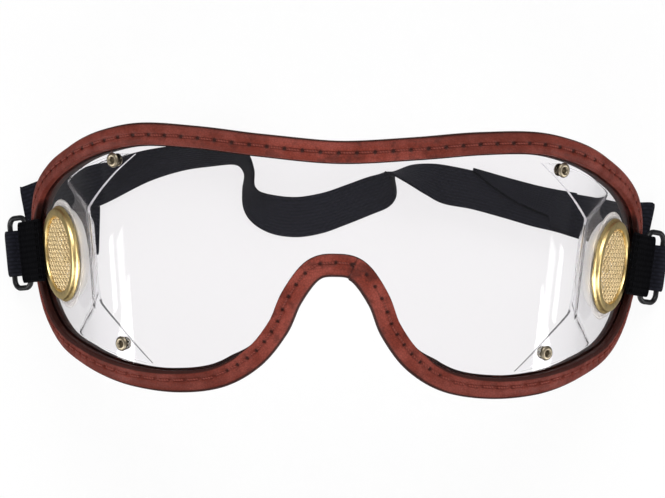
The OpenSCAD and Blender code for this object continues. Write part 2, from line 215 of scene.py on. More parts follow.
class Finish(Tree):
    """A material with one Principled shader."""

    def __init__(self, name: str) -> None:
        """Starts the material.

        Args:
            name: the material's name.
        """
        self.material = bpy.data.materials.new(name)
        self.material.use_nodes = True
        super().__init__(self.material.node_tree)
        self.nodes.clear()
        self.output = self.nodes.new("ShaderNodeOutputMaterial")
        self.shader = self.nodes.new("ShaderNodeBsdfPrincipled")
        self.links.new(self.shader.outputs[0], self.output.inputs["Surface"])

    def principled(self, **sockets: Any) -> "Finish":
        """Sets sockets of the Principled shader.

        Args:
            sockets: values or links by socket name, with _ for a blank.

        Returns:
            The same finish.
        """
        for key, value in sockets.items():
            self.put(self.shader.inputs[key.replace("_", " ")], value)
        return self

    def bump(self, height: Channel, distance: float, strength: float) -> "Finish":
        """Feeds a height to the normal.

        Args:
            height: the height, from about 0 to 1.
            distance: what a height of 1 stands for, in metres.
            strength: share of it that is used.

        Returns:
            The same finish.
        """
        return self.principled(Normal=self.node("ShaderNodeBump", sockets={
            "Height": height, "Distance": distance, "Strength": strength}))

    def mixed(self, share: Channel, second: Channel) -> None:
        """Puts a second shader over the Principled one.

        Args:
            share: the second shader's share.
            second: the second shader's output.
        """
        sockets = {0: share, 1: Channel(self, self.shader.outputs[0]), 2: second}
        self.put(self.output.inputs["Surface"], self.node("ShaderNodeMixShader", sockets=sockets))

    def place(self) -> Channel:
        """Object coordinates, in metres."""
        return self.node("ShaderNodeTexCoord", out="Object")

    def uv(self) -> tuple[Channel, Channel]:
        """The piece's own UV map.

        Returns:
            Its two numbers, along and across.
        """
        along = self.node("ShaderNodeSeparateXYZ", sockets={
            0: self.node("ShaderNodeUVMap", {"uv_map": UV_NAME})})
        return along, along.other(1)

    def stored(self, name: str) -> Channel:
        """A number stored on the piece's points under that name."""
        return self.node("ShaderNodeAttribute", {"attribute_name": name}, out="Fac")

    def noise(self, scale: float, detail: float = 3.0, rough: float = 0.55) -> Channel:
        """Noise on object coordinates.

        Args:
            scale: blots per metre.
            detail: octaves.
            rough: share of the finer octaves.

        Returns:
            A number round 0.5.
        """
        return self.node("ShaderNodeTexNoise", sockets={
            "Vector": self.place(), "Scale": scale, "Detail": detail, "Roughness": rough})

    def cells(self, scale: float, measure: Cells) -> Channel:
        """Irregular cells on object coordinates, that many per metre, as the chosen distance."""
        return self.node("ShaderNodeTexVoronoi", {"feature": measure.value}, {
            "Vector": self.place(), "Scale": scale}, "Distance")

    def mix(self, share: Any, a: Any, b: Any) -> Channel:
        """A colour that turns from a to b as share goes from 0 to 1."""
        return self.node("ShaderNodeMix", {"data_type": "RGBA"}, {0: share, 6: a, 7: b}, 2)


@dataclass(frozen=True)
class LeatherFinish:
    """Oiled red brown leather: pebbled grain, painted shade and a painted highlight, fine creases."""

    # dark is the leather's darker tone, and also the colour of its painted shade
    dark: Colour = (0.026, 0.0042, 0.0022)
    middle: Colour = (0.208, 0.0300, 0.0165)
    worn: Colour = (0.385, 0.083, 0.060)

    def make(self) -> Material:
        """Builds the material.

        The middle tone turns to the worn one in broad patches, and to the dark one in blots and
        between the pebbles of the grain. The dark one is also painted shade: towards both sides of
        the goggles, which leaves a painted highlight in the middle, and where the stored number
        "crown" is low, along both borders of the front face, over the back leaf and the lower half of
        the fold, in the stitch holes and along the stitch furrow; it darkens the lap's cut end too.

        Returns:
            The material.
        """
        f = Finish("leather")
        crown = f.stored("crown")
        broad = f.noise(110.0, 4.0, 0.6)
        blot = f.noise(260.0, 3.0, 0.6)
        fine = f.noise(900.0, 3.0, 0.6)
        grain = f.cells(1500.0, Cells.WALL)
        pores = f.cells(2600.0, Cells.MIDDLE)
        side = f.node("ShaderNodeSeparateXYZ", sockets={0: f.place()}, out="X").abs()
        # blots are random; the side step adds painted shade towards both sides, which leaves a painted
        # highlight in the middle
        blots = (blot.step(0.5, 0.66) * 0.5).max(side.step(0.005, 0.036) * 0.36)
        tone = f.mix(broad.step(0.4, 0.64) * 0.6, self.middle, self.worn)
        tone = f.mix(blots, tone, self.dark)
        # painted shade: the dark tone on the leaf borders, the back leaf, the stitch holes and the furrow
        tone = f.mix(crown.step(0.62, 0.12) * 0.94, tone, self.dark)
        tone = f.mix(grain.step(0.16, 0.0) * 0.3 + fine.step(0.5, 0.75) * 0.15, tone, self.dark)
        height = grain.step(0.0, 0.3) * 0.55 + fine * 0.9 + pores * 0.25 + broad * 0.8
        f.principled(Base_Color=tone, Roughness=0.46 + fine * 0.2, IOR=1.42,
                     Specular_IOR_Level=0.27)
        return f.bump(height, 0.00011, 0.75).material


@dataclass(frozen=True)
class ThreadFinish:
    """Waxed twisted thread, whose twist runs across its length."""

    low: Colour = (0.105, 0.016, 0.009)
    high: Colour = (0.240, 0.044, 0.028)

    def make(self) -> Material:
        """Builds the material: a sine of 9 times the length plus one turn round the thread.

        Returns:
            The material.
        """
        f = Finish("thread")
        along, turns = f.uv()
        twist = (along * 9.0 + turns * 6.2832).sin() * 0.5 + 0.5
        f.principled(Base_Color=f.mix(twist * 0.8 + f.noise(700.0) * 0.3, self.low, self.high),
                     Roughness=0.6, Specular_IOR_Level=0.3)
        return f.bump(twist, 0.00006, 0.8).material


@dataclass(frozen=True)
class ClearFinish:
    """Clear sheet, as glass with a faint tint and dust."""

    name: str
    tint: Colour
    ior: float
    haze: float = 0.006

    def glass(self) -> Finish:
        """Glass that dust makes rough, by haze at the most.

        Returns:
            The finish, before its material is taken.
        """
        f = Finish(self.name)
        dust = f.noise(260.0, 5.0, 0.7)
        return f.principled(Base_Color=self.tint, Roughness=dust.step(0.5, 0.9) * self.haze,
                            IOR=self.ior, Transmission_Weight=1.0)

    def make(self) -> Material:
        """Builds the material."""
        return self.glass().material


@dataclass(frozen=True)
class FilmFinish(ClearFinish):
    """Clear film with a painted highlight and a painted dark line on its cut nose edge, and a painted
    reflection where it is bent.
    """

    # the share of a painted reflection on the bent film, then the colours of the painted highlight and the
    # painted dark line on a cut edge
    painted_reflection_share: float = 0.12
    white: Colour = (0.9, 0.89, 0.92)
    edge_shade: Colour = (0.10, 0.10, 0.11)

    def make(self) -> Material:
        """Builds the material: glass under an opaque share.

        That share is the larger of two: on a cut edge, where the stored number "cut" is 1 on an
        edge with a painted highlight (white) and -1 on one with a painted dark line (grey), and
        cloud times the stored number "veil", a painted reflection in white where the film is bent.

        Returns:
            The material.
        """
        f = self.glass()
        cut = f.stored("cut")
        # the cut edge's painted highlight above and painted dark line below
        edge = f.mix(cut.step(-0.6, -0.1), self.edge_shade, self.white)
        share = cut.abs().step(0.2, 0.9) * (0.5 + f.noise(260.0, 5.0, 0.7) * 0.7)
        # opaque painted light: the cut edges, and a painted reflection on the bent film
        f.mixed(share.max(f.stored("veil") * self.painted_reflection_share), f.node(
            "ShaderNodeBsdfPrincipled", sockets={"Base Color": edge, "Roughness": 0.4}))
        return f.material


@dataclass(frozen=True)
class MetalFinish:
    """Turned or pressed metal: base colour, tarnish in patches, fine polishing marks."""

    name: str
    bright: Colour
    tarnish: Colour
    rough: float

    def make(self) -> Material:
        """Builds the material.

        Returns:
            The material.
        """
        f = Finish(self.name)
        patches = f.noise(420.0, 4.0, 0.65)
        marks = f.noise(3800.0, 2.0, 0.5)
        tone = f.mix(patches.step(0.44, 0.74) * 0.6, self.bright, self.tarnish)
        f.principled(Base_Color=tone, Metallic=1.0, Roughness=self.rough + patches * 0.16)
        return f.bump(marks, 0.000012, 0.6).material


@dataclass(frozen=True)
class BandFinish:
    """Black woven band, by its UV map in millimetres."""

    name: str
    low: Colour
    high: Colour
    rib: float
    pick: float
    gloss: float = 0.12

    def make(self) -> Material:
        """Builds the material: ribs along the band crossed by picks, in a checked weave.

        A rib is the size of a sine across the band, and a pick is a sine along it, shifted by
        half a wave on every other rib.

        Returns:
            The material.
        """
        f = Finish(self.name)
        along, across = f.uv()
        wave = (across * (np.pi / self.rib)).sin()
        ribs = wave.abs()
        other_rib = (wave * 8.0).max(-1.0).step(-0.5, 0.5)
        picks = (along * (np.pi / self.pick) + other_rib * np.pi).sin() * 0.5 + 0.5
        cloth = ribs * 0.6 + picks * ribs * 0.6
        fuzz = f.noise(2400.0, 2.0)
        broad = f.noise(90.0, 3.0)
        tone = f.mix(cloth * 0.7 + broad * 0.25 + fuzz * 0.1, self.low, self.high)
        f.principled(Base_Color=tone, Roughness=0.8 + fuzz * 0.15,
                     Specular_IOR_Level=self.gloss)
        return f.bump(cloth + fuzz * 0.15, 0.00013, 0.8).material


@dataclass(frozen=True)
class MouldedFinish:
    """Moulded plastic, or black waxed thread: fine texture, paler where it is worn."""

    name: str
    colour: Colour
    rough: float
    gloss: float = 0.5

    def make(self) -> Material:
        """Builds the material: the worn tone is 1.35 times the colour and a trace more.

        Returns:
            The material.
        """
        f = Finish(self.name)
        grain = f.noise(2200.0, 3.0)
        broad = f.noise(180.0, 4.0)
        paler = tuple(min(1.0, c * 1.35 + 0.003) for c in self.colour)
        f.principled(Base_Color=f.mix(broad.step(0.4, 0.75) * 0.5, self.colour, paler),
                     Roughness=self.rough + broad * 0.14, IOR=1.5,
                     Specular_IOR_Level=self.gloss)
        return f.bump(grain, 0.00002, 0.5).material


def made_by(made: Any) -> Any:
    """A dataclass field that holds the material of that finish, made when it is needed."""
    return field(default_factory=made.make)


@dataclass
class Looks:
    """The materials of all pieces, each made once."""

    leather: Material = made_by(LeatherFinish())
    thread: Material = made_by(ThreadFinish())
    clear: Material = made_by(ClearFinish("clear_sheet", (0.918, 0.902, 0.916), 1.3))
    film: Material = made_by(FilmFinish("clear_film", (0.985, 0.985, 0.992), 1.07, 0.004))
    brass: Material = made_by(
        MetalFinish("brass", (0.93, 0.72, 0.33), (0.40, 0.27, 0.10), 0.31))
    wire: Material = made_by(
        MetalFinish("brass_wire", (0.90, 0.71, 0.41), (0.55, 0.42, 0.19), 0.45))
    eyelet: Material = made_by(
        MetalFinish("eyelet_metal", (0.34, 0.29, 0.21), (0.09, 0.07, 0.045), 0.3))
    washer: Material = made_by(MouldedFinish("washer_plastic", (0.94, 0.92, 0.86), 0.34))
    ring: Material = made_by(MouldedFinish("ring_plastic", (0.002, 0.002, 0.003), 0.36, 0.35))
    tab_thread: Material = made_by(
        MouldedFinish("black_thread", (0.0012, 0.0012, 0.0014), 0.8, 0.04))
    webbing: Material = made_by(BandFinish(
        "webbing", (0.0012, 0.0012, 0.0016), (0.0035, 0.0035, 0.0045), 1.5, 1.1, 0.02))
    elastic: Material = made_by(BandFinish(
        "elastic", (0.0035, 0.0035, 0.0055), (0.013, 0.0135, 0.021), 1.05, 0.9))


# meshes
@dataclass
class Surface:
    """Points in millimetres with quads, and what is stored on its points."""

    points: Array
    quads: Array
    uv: Array | None = None
    attributes: dict[str, Array] = field(default_factory=dict)

    @staticmethod
    def grid(points: Array, close_u: bool = False, close_v: bool = False,
             uv: Array | None = None, **attributes: Array) -> "Surface":
        """Quads over an array of points [u, v, 3]; u and v may close on themselves.

        Args:
            points: rows of points.
            close_u: join the last row to the first.
            close_v: join the last column to the first.
            uv: optional [u, v, 2] in millimetres.
            attributes: optional [u, v] numbers by name.

        Returns:
            The surface. Its faces point along (d/du x d/dv).
        """
        nu, nv = points.shape[:2]
        i = np.arange(nu if close_u else nu - 1)[:, None]
        j = np.arange(nv if close_v else nv - 1)[None, :]
        a, b = i * nv + j, ((i + 1) % nu) * nv + j
        c, d = ((i + 1) % nu) * nv + (j + 1) % nv, i * nv + (j + 1) % nv
        quads = np.stack([a, b, c, d], -1).reshape(-1, 4)
        return Surface(points.reshape(-1, 3), quads, None if uv is None else uv.reshape(-1, 2),
                       {k: v.reshape(-1) for k, v in attributes.items()})

    def thickened(self, other: Array) -> "Surface":
        """Closes a sheet with a second skin of the same layout; walls stand on its open edges.

        Open edges are those that only one quad has. Points that no quad uses are left out.

        Args:
            other: the second skin's points, under the first along minus its normal.

        Returns:
            The closed shell.
        """
        n = len(self.points)
        used = np.unique(self.quads)
        e = np.concatenate([self.quads[:, [0, 1]], self.quads[:, [1, 2]],
                            self.quads[:, [2, 3]], self.quads[:, [3, 0]]])
        key = np.sort(e, 1)
        _, first, count = np.unique(key, axis=0, return_index=True, return_counts=True)
        rim = e[first[count == 1]]
        walls = np.stack([rim[:, 1], rim[:, 0], rim[:, 0] + n, rim[:, 1] + n], 1)
        quads = np.concatenate([self.quads, self.quads[:, ::-1] + n, walls])
        keep = np.concatenate([used, used + n])
        new = np.full(2 * n, -1)
        new[keep] = np.arange(len(keep))
        points = np.concatenate([self.points, other])[keep]
        uv = None if self.uv is None else np.concatenate([self.uv, self.uv])[keep]
        return Surface(points, new[quads], uv,
                       {k: np.concatenate([v, v])[keep] for k, v in self.attributes.items()})

    def outwards(self) -> "Surface":
        """Turns a closed surface's faces outwards, so that its volume is positive.

        The volume is the sum of a . (b x c) / 6 over its triangles a, b, c.

        Returns:
            The surface, turned or as it was.
        """
        p = self.points[self.quads]
        volume = sum(np.einsum("ij,ij->i", p[:, 0], np.cross(p[:, k], p[:, k + 1])).sum()
                     for k in (1, 2))
        return self if volume > 0 else self.flipped(self.points)

    def flipped(self, points: Array) -> "Surface":
        """The same surface on those points, with its faces turned round."""
        return Surface(points, self.quads[:, ::-1], self.uv, self.attributes)

    def on(self, side: Side) -> "Surface":
        """A surface of the right side, or for the left its image in x = 0, faces outwards."""
        return self if side is Side.RIGHT else self.flipped(self.points * [-1, 1, 1])

    @staticmethod
    def joined(parts: Sequence["Surface"]) -> "Surface":
        """Several surfaces as one.

        Args:
            parts: surfaces, all with the same stored numbers.

        Returns:
            One surface of them all.
        """
        starts = np.cumsum([0] + [len(p.points) for p in parts[:-1]])
        uv = None if parts[0].uv is None else np.concatenate([p.uv for p in parts])
        keys = parts[0].attributes
        return Surface(np.concatenate([p.points for p in parts]),
                       np.concatenate([p.quads + s for p, s in zip(parts, starts)]), uv,
                       {k: np.concatenate([p.attributes[k] for p in parts]) for k in keys})

    def build(self, name: str, material: Material, sharp: float = 35.0) -> bpy.types.Object:
        """Makes the Blender object, at the origin and in metres.

        Args:
            name: the piece's name.
            material: what it is made of.
            sharp: an edge over this angle, in degrees, stays sharp; all others are smooth.

        Returns:
            The object.
        """
        mesh = bpy.data.meshes.new(name)
        mesh.from_pydata((self.points * MM).tolist(), [], self.quads.tolist())
        if self.uv is not None:
            layer = mesh.uv_layers.new(name=UV_NAME)
            loops = np.empty(len(mesh.loops), np.int32)
            mesh.loops.foreach_get("vertex_index", loops)
            layer.data.foreach_set("uv", self.uv[loops].astype(np.float32).ravel())
        for key, values in self.attributes.items():
            layer = mesh.attributes.new(key, "FLOAT", "POINT")
            layer.data.foreach_set("value", values.astype(np.float32))
        shape = bmesh.new()
        shape.from_mesh(mesh)
        bmesh.ops.remove_doubles(shape, verts=shape.verts, dist=MERGE)
        shape.to_mesh(mesh)
        shape.free()
        mesh.polygons.foreach_set("use_smooth", np.ones(len(mesh.polygons), bool))
        mesh.set_sharp_from_angle(angle=np.radians(sharp))
        mesh.materials.append(material)
        mesh.update()
        LOG.info("%s: %d faces", name, len(mesh.polygons))
        return into_scene(name, mesh)


def into_scene(name: str, data: Any) -> bpy.types.Object:
    """Makes an object of that name and data.

    Args:
        name: the object's name.
        data: its mesh, lamp or camera.

    Returns:
        The object, linked to the scene.
    """
    made = bpy.data.objects.new(name, data)
    bpy.context.scene.collection.objects.link(made)
    return made


def add(piece: bpy.types.Object, body: str, slot: str, *nodes: str) -> None:
    """Lets a piece ride on its body in place of its CAD nodes.

    Args:
        piece: the piece.
        body: the body that it moves with.
        slot: a material slot's name; not used.
        nodes: the CAD nodes that it stands for.
    """
    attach(piece, body)
    if nodes:
        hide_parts(*nodes)


def unit(v: Array) -> Array:
    """Vectors over their lengths."""
    return v / np.maximum(np.linalg.norm(v, axis=-1, keepdims=True), 1e-12)


def run_along(path: Array) -> Array:
    """Length from the path's start to each of its points."""
    return np.concatenate([[0.0], np.cumsum(np.linalg.norm(np.diff(path, axis=0), axis=1))])


def smooth01(u: Array) -> Array:
    """3u^2 - 2u^3, held to 0 and 1."""
    v = np.clip(u, 0.0, 1.0)
    return v * v * (3 - 2 * v)


def catmull(points: Array, u: Array, closed: bool) -> Array:
    """Smooth curve through points, made of cubics.

    Its slope at a point is half the step from the point before it to the point after it.

    Args:
        points: the points that it passes through [n, k].
        u: where it is wanted; whole numbers are the points.
        closed: whether the last point joins the first.

    Returns:
        The curve's points.
    """
    n = len(points)
    i = np.floor(u).astype(int)
    i = i if closed else np.minimum(i, n - 2)
    w = (u - i)[:, None]
    a, b, c, d = (points[k % n if closed else np.clip(k, 0, n - 1)]
                  for k in (i - 1, i, i + 1, i + 2))
    return 0.5 * (2 * b + (c - a) * w + (2 * a - 5 * b + 4 * c - d) * w * w
                  + (3 * b - a - 3 * c + d) * w ** 3)


def tube(path: Array, radius: Array | float, sides: int, up: Array | None = None,
         closed: bool = False) -> Surface:
    """A round tube: circle of that radius carried along the path, ends drawn to a point.

    Args:
        path: points [n, 3].
        radius: one number or one per point; let it fall to near 0 at open ends.
        sides: points round the tube.
        up: reference direction, per point or one.
        closed: joins the ends.

    Returns:
        The surface, with UV in millimetres along and turns round.
    """
    go = np.roll(path, -1, 0) - np.roll(path, 1, 0) if closed else np.gradient(path, axis=0)
    go = unit(go)
    ref = np.broadcast_to(np.array([0.0, 0.0, 1.0]) if up is None else up, path.shape)
    side = unit(np.cross(go, ref))
    top = np.cross(side, go)
    a = np.linspace(0, 2 * np.pi, sides, endpoint=False)
    r = np.broadcast_to(np.asarray(radius, float), (len(path),))[:, None, None]
    ring = side[:, None] * np.cos(a)[None, :, None] + top[:, None] * np.sin(a)[None, :, None]
    run = run_along(path)
    uv = np.stack(np.broadcast_arrays(run[:, None], a[None] / (2 * np.pi)), -1)
    return Surface.grid(path[:, None] + ring * r, close_u=closed, close_v=True, uv=uv)


# the wrap
@dataclass(frozen=True)
class Wrap:
    """The flared wrap that the lens is bent to, with its pattern's outline.

    Across, the sheet follows three arcs: front_r in the middle, bend_r from bend_start to
    side_start, and side_r beyond. The flare makes it wider towards the brow. The pattern goes
    reach_s to the side, up to brow_mid in the middle and brow_high at its highest, and down to
    lobe_low; its notch for the nose ends nose_top down. The binding's fold stands fold_out
    beyond it, and over_hinge above the hinge at height hinge_z. fine is how many points its
    outline is worked out with. Lengths are in millimetres.
    """

    front_r: float = 130.0
    bend_r: float = 36.0
    side_r: float = 260.0
    bend_start: float = 48.0
    side_start: float = 73.0
    flare: float = 0.19
    lens_t: float = 0.8
    reach_s: float = 109.8
    brow_mid: float = 28.6
    brow_high: float = 32.4
    lobe_low: float = 32.3
    nose_top: float = 2.2
    fold_out: float = 1.5
    hinge_z: float = 6.6
    over_hinge: float = 2.4
    fine: int = 6000

    @property
    def turns(self) -> tuple[float, float]:
        """Bend in radians where the corner arc starts and where it ends."""
        first = self.bend_start / self.front_r
        return first, first + (self.side_start - self.bend_start) / self.bend_r

    def turn(self, a: Array) -> Array:
        """Bend at a pattern distance: front, corner and side arcs, end to end.

        Args:
            a: distance from the middle along the pattern.

        Returns:
            The bend in radians, a length over its arc's radius added up.
        """
        t1, t2 = self.turns
        corner = t1 + (a - self.bend_start) / self.bend_r
        return np.where(a <= self.bend_start, a / self.front_r,
                        np.where(a <= self.side_start, corner,
                                 t2 + (a - self.side_start) / self.side_r))

    def reach(self, a: Array) -> Array:
        """Sideways reach: for each arc passed, its radius times the gain in the sine.

        Args:
            a: distance from the middle along the pattern.

        Returns:
            Distance from the middle plane.
        """
        t1, t2 = self.turns
        w = self.turn(a)
        return (self.front_r * np.sin(np.minimum(w, t1))
                + self.bend_r * (np.sin(np.clip(w, t1, t2)) - np.sin(t1))
                + self.side_r * (np.sin(np.maximum(w, t2)) - np.sin(t2)))

    def depth(self, a: Array) -> Array:
        """Depth below the middle of the front: as reach, with the loss in the cosine.

        Args:
            a: distance from the middle along the pattern.

        Returns:
            The depth.
        """
        t1, t2 = self.turns
        w = self.turn(a)
        return (self.front_r * (1 - np.cos(np.minimum(w, t1)))
                + self.bend_r * (np.cos(t1) - np.cos(np.clip(w, t1, t2)))
                + self.side_r * (np.cos(t2) - np.cos(np.maximum(w, t2))))

    @property
    def fold_s(self) -> float:
        """Pattern distance of the binding's side fold."""
        return self.reach_s + self.fold_out

    @property
    def front_z(self) -> float:
        """Height of the middle of the front."""
        return self.hinge_z + self.over_hinge + float(self.depth(np.array(self.fold_s)))

    @property
    def level(self) -> float:
        """Slope that brings both side edges level."""
        return self.flare / self.front_r * float(self.depth(np.array(self.fold_s)))

    def point(self, s: Array, t: Array, h: Array) -> Array:
        """The finished place of (s, t, h): reach and depth grow with 1 + flare t / front_r.

        Args:
            s: along the pattern from the middle.
            t: up the pattern.
            h: out of the middle of the lens.

        Returns:
            Points [..., 3].
        """
        s, t, h = np.broadcast_arrays(*(np.asarray(x, float) for x in (s, t, h)))
        a, g = np.abs(s), np.where(s < 0, -1.0, 1.0)
        q = 1 + self.flare * t / self.front_r
        w = self.turn(a)
        return np.stack([g * (self.reach(a) * q + h * np.sin(w)), t,
                         self.front_z - self.depth(a) * q + h * np.cos(w) + self.level * t], -1)

    def frame_at(self, s: float, t: float) -> tuple[Array, Array]:
        """Origin and axes on the lens at (s, t), by differences over a hundredth each way.

        Args:
            s: along the pattern from the middle.
            t: up the pattern.

        Returns:
            The origin, and the axes as columns: along s, along t and outwards.
        """
        e = 0.01
        o = self.point(s, t, 0.0)
        ds = unit(self.point(s + e, t, 0.0) - self.point(s - e, t, 0.0))
        dt = self.point(s, t + e, 0.0) - self.point(s, t - e, 0.0)
        n = unit(np.cross(ds, dt))
        return o, np.stack([ds, np.cross(n, ds), n], 1)

    def edge(self, count: int) -> Array:
        """The pattern's closed outline: a smooth curve through control points, evenly spaced.

        The control points of the right half are given, and the left half mirrors them.

        Args:
            count: how many points.

        Returns:
            Points (s, t), from the middle of the nose over the right side and the brow.
        """
        r, lo, hi, mid = self.reach_s, self.lobe_low, self.brow_high, self.brow_mid
        half = np.array([
            [0, -self.nose_top], [5, -self.nose_top - 1.2], [9.8, -9.8], [13.4, -17.6],
            [19.9, -lo * 0.784], [r * 0.2703, -lo * 0.9486], [r * 0.383, -lo],
            [r * 0.4995, -lo * 0.972], [r * 0.6424, -lo * 0.874], [r * 0.8203, -lo * 0.732],
            [r * 0.933, -16.5], [r * 0.988, -7.5], [r, 1.5], [r * 0.984, 11],
            [r * 0.9222, 18.2], [r * 0.808, hi * 0.7305],
            [r * 0.6671, hi * 0.853], [r * 0.5427, hi * 0.952], [r * 0.4413, hi],
            [r * 0.3142, hi * 0.98], [18.9, mid + 1.4], [0, mid]])
        ring = np.concatenate([half, half[-2:0:-1] * [-1, 1]])
        dense = catmull(ring, np.linspace(0, len(ring), self.fine, endpoint=False), True)
        run = run_along(np.concatenate([dense, dense[:1]]))
        want = np.linspace(0, run[-1], count, endpoint=False)
        loop = np.concatenate([dense, dense[:1]])
        return np.stack([np.interp(want, run, loop[:, k]) for k in (0, 1)], 1)

    @staticmethod
    def outward(edge: Array) -> Array:
        """Outward unit direction at each point of an evenly spaced outline."""
        v = np.roll(edge, -1, 0) - np.roll(edge, 1, 0)
        return unit(np.stack([v[:, 1], -v[:, 0]], 1))


WRAP = Wrap()


# the pieces
@dataclass
class Shield:
    """The clear lens: one sheet with a hole for each vent and each eyelet."""

    columns: int = 320
    rows: int = 92
    vent_hole: float = 11.0
    edge_count: int = 4000
    span: float = 0.9995
    crowd: float = 0.985

    def holes(self) -> list[tuple[float, float, float]]:
        """Every hole of the lens.

        Returns:
            A list of (s, t, radius).
        """
        v, e = VENT, EYELETS
        right = [(v.s, v.y, self.vent_hole)] + [(s, t, e.hole_r) for s, t in e.places()]
        return right + [(-s, t, r) for s, t, r in right]

    def sheet(self) -> Surface:
        """Columns from the lower to the upper edge, lifted half a thickness both ways.

        Columns lie at s = reach sin(k), dense at the sides; grid points near a hole's circle are
        drawn onto it, and quads inside it are left out.

        Returns:
            The closed sheet.
        """
        edge = WRAP.edge(self.edge_count)
        tip = int(np.argmax(edge[:, 0]))
        low, high = edge[:tip + 1], edge[tip:len(edge) // 2 + 2]
        quarter = np.linspace(-1, 1, self.columns) * np.pi / 2
        s = WRAP.reach_s * self.span * np.sin(quarter * self.crowd)
        a = np.abs(s)
        lo = np.interp(a, low[:, 0], low[:, 1])
        hi = np.interp(a, high[::-1, 0], high[::-1, 1])
        w = np.linspace(0, 1, self.rows)
        st = np.stack(np.broadcast_arrays(s[:, None], lo[:, None] + (hi - lo)[:, None] * w), -1)
        quads = Surface.grid(np.zeros((self.columns, self.rows, 3))).quads
        st, quads = pierced(st.reshape(-1, 2), quads, self.holes())
        half = WRAP.lens_t / 2
        top = WRAP.point(st[:, 0], st[:, 1], half)
        return Surface(top, quads).thickened(WRAP.point(st[:, 0], st[:, 1], -half))

    def make(self, looks: Looks) -> None:
        """Builds and dresses the lens."""
        add(self.sheet().build("clear_shield", looks.clear), "frame", "clear_lens", "lens")


def pierced(st: Array, quads: Array,
            holes: Sequence[tuple[float, float, float]]) -> tuple[Array, Array]:
    """Opens round holes in a grid on the pattern.

    A quad goes if its middle is inside the circle; then the points that still hold a quad and
    stand on the opening's rim are moved radially onto the circle.

    Args:
        st: the grid's points (s, t).
        quads: its quads.
        holes: (s, t, radius) of each hole.

    Returns:
        The points and the quads that stay.
    """
    st = st.copy()
    for s0, t0, r in holes:
        c = np.array([s0, t0])
        gone = np.linalg.norm(st[quads].mean(1) - c, axis=1) < r
        rim = np.intersect1d(np.unique(quads[gone]), np.unique(quads[~gone]))
        quads = quads[~gone]
        v = st[rim] - c
        st[rim] = c + v / np.linalg.norm(v, axis=1, keepdims=True) * r
    return st, quads


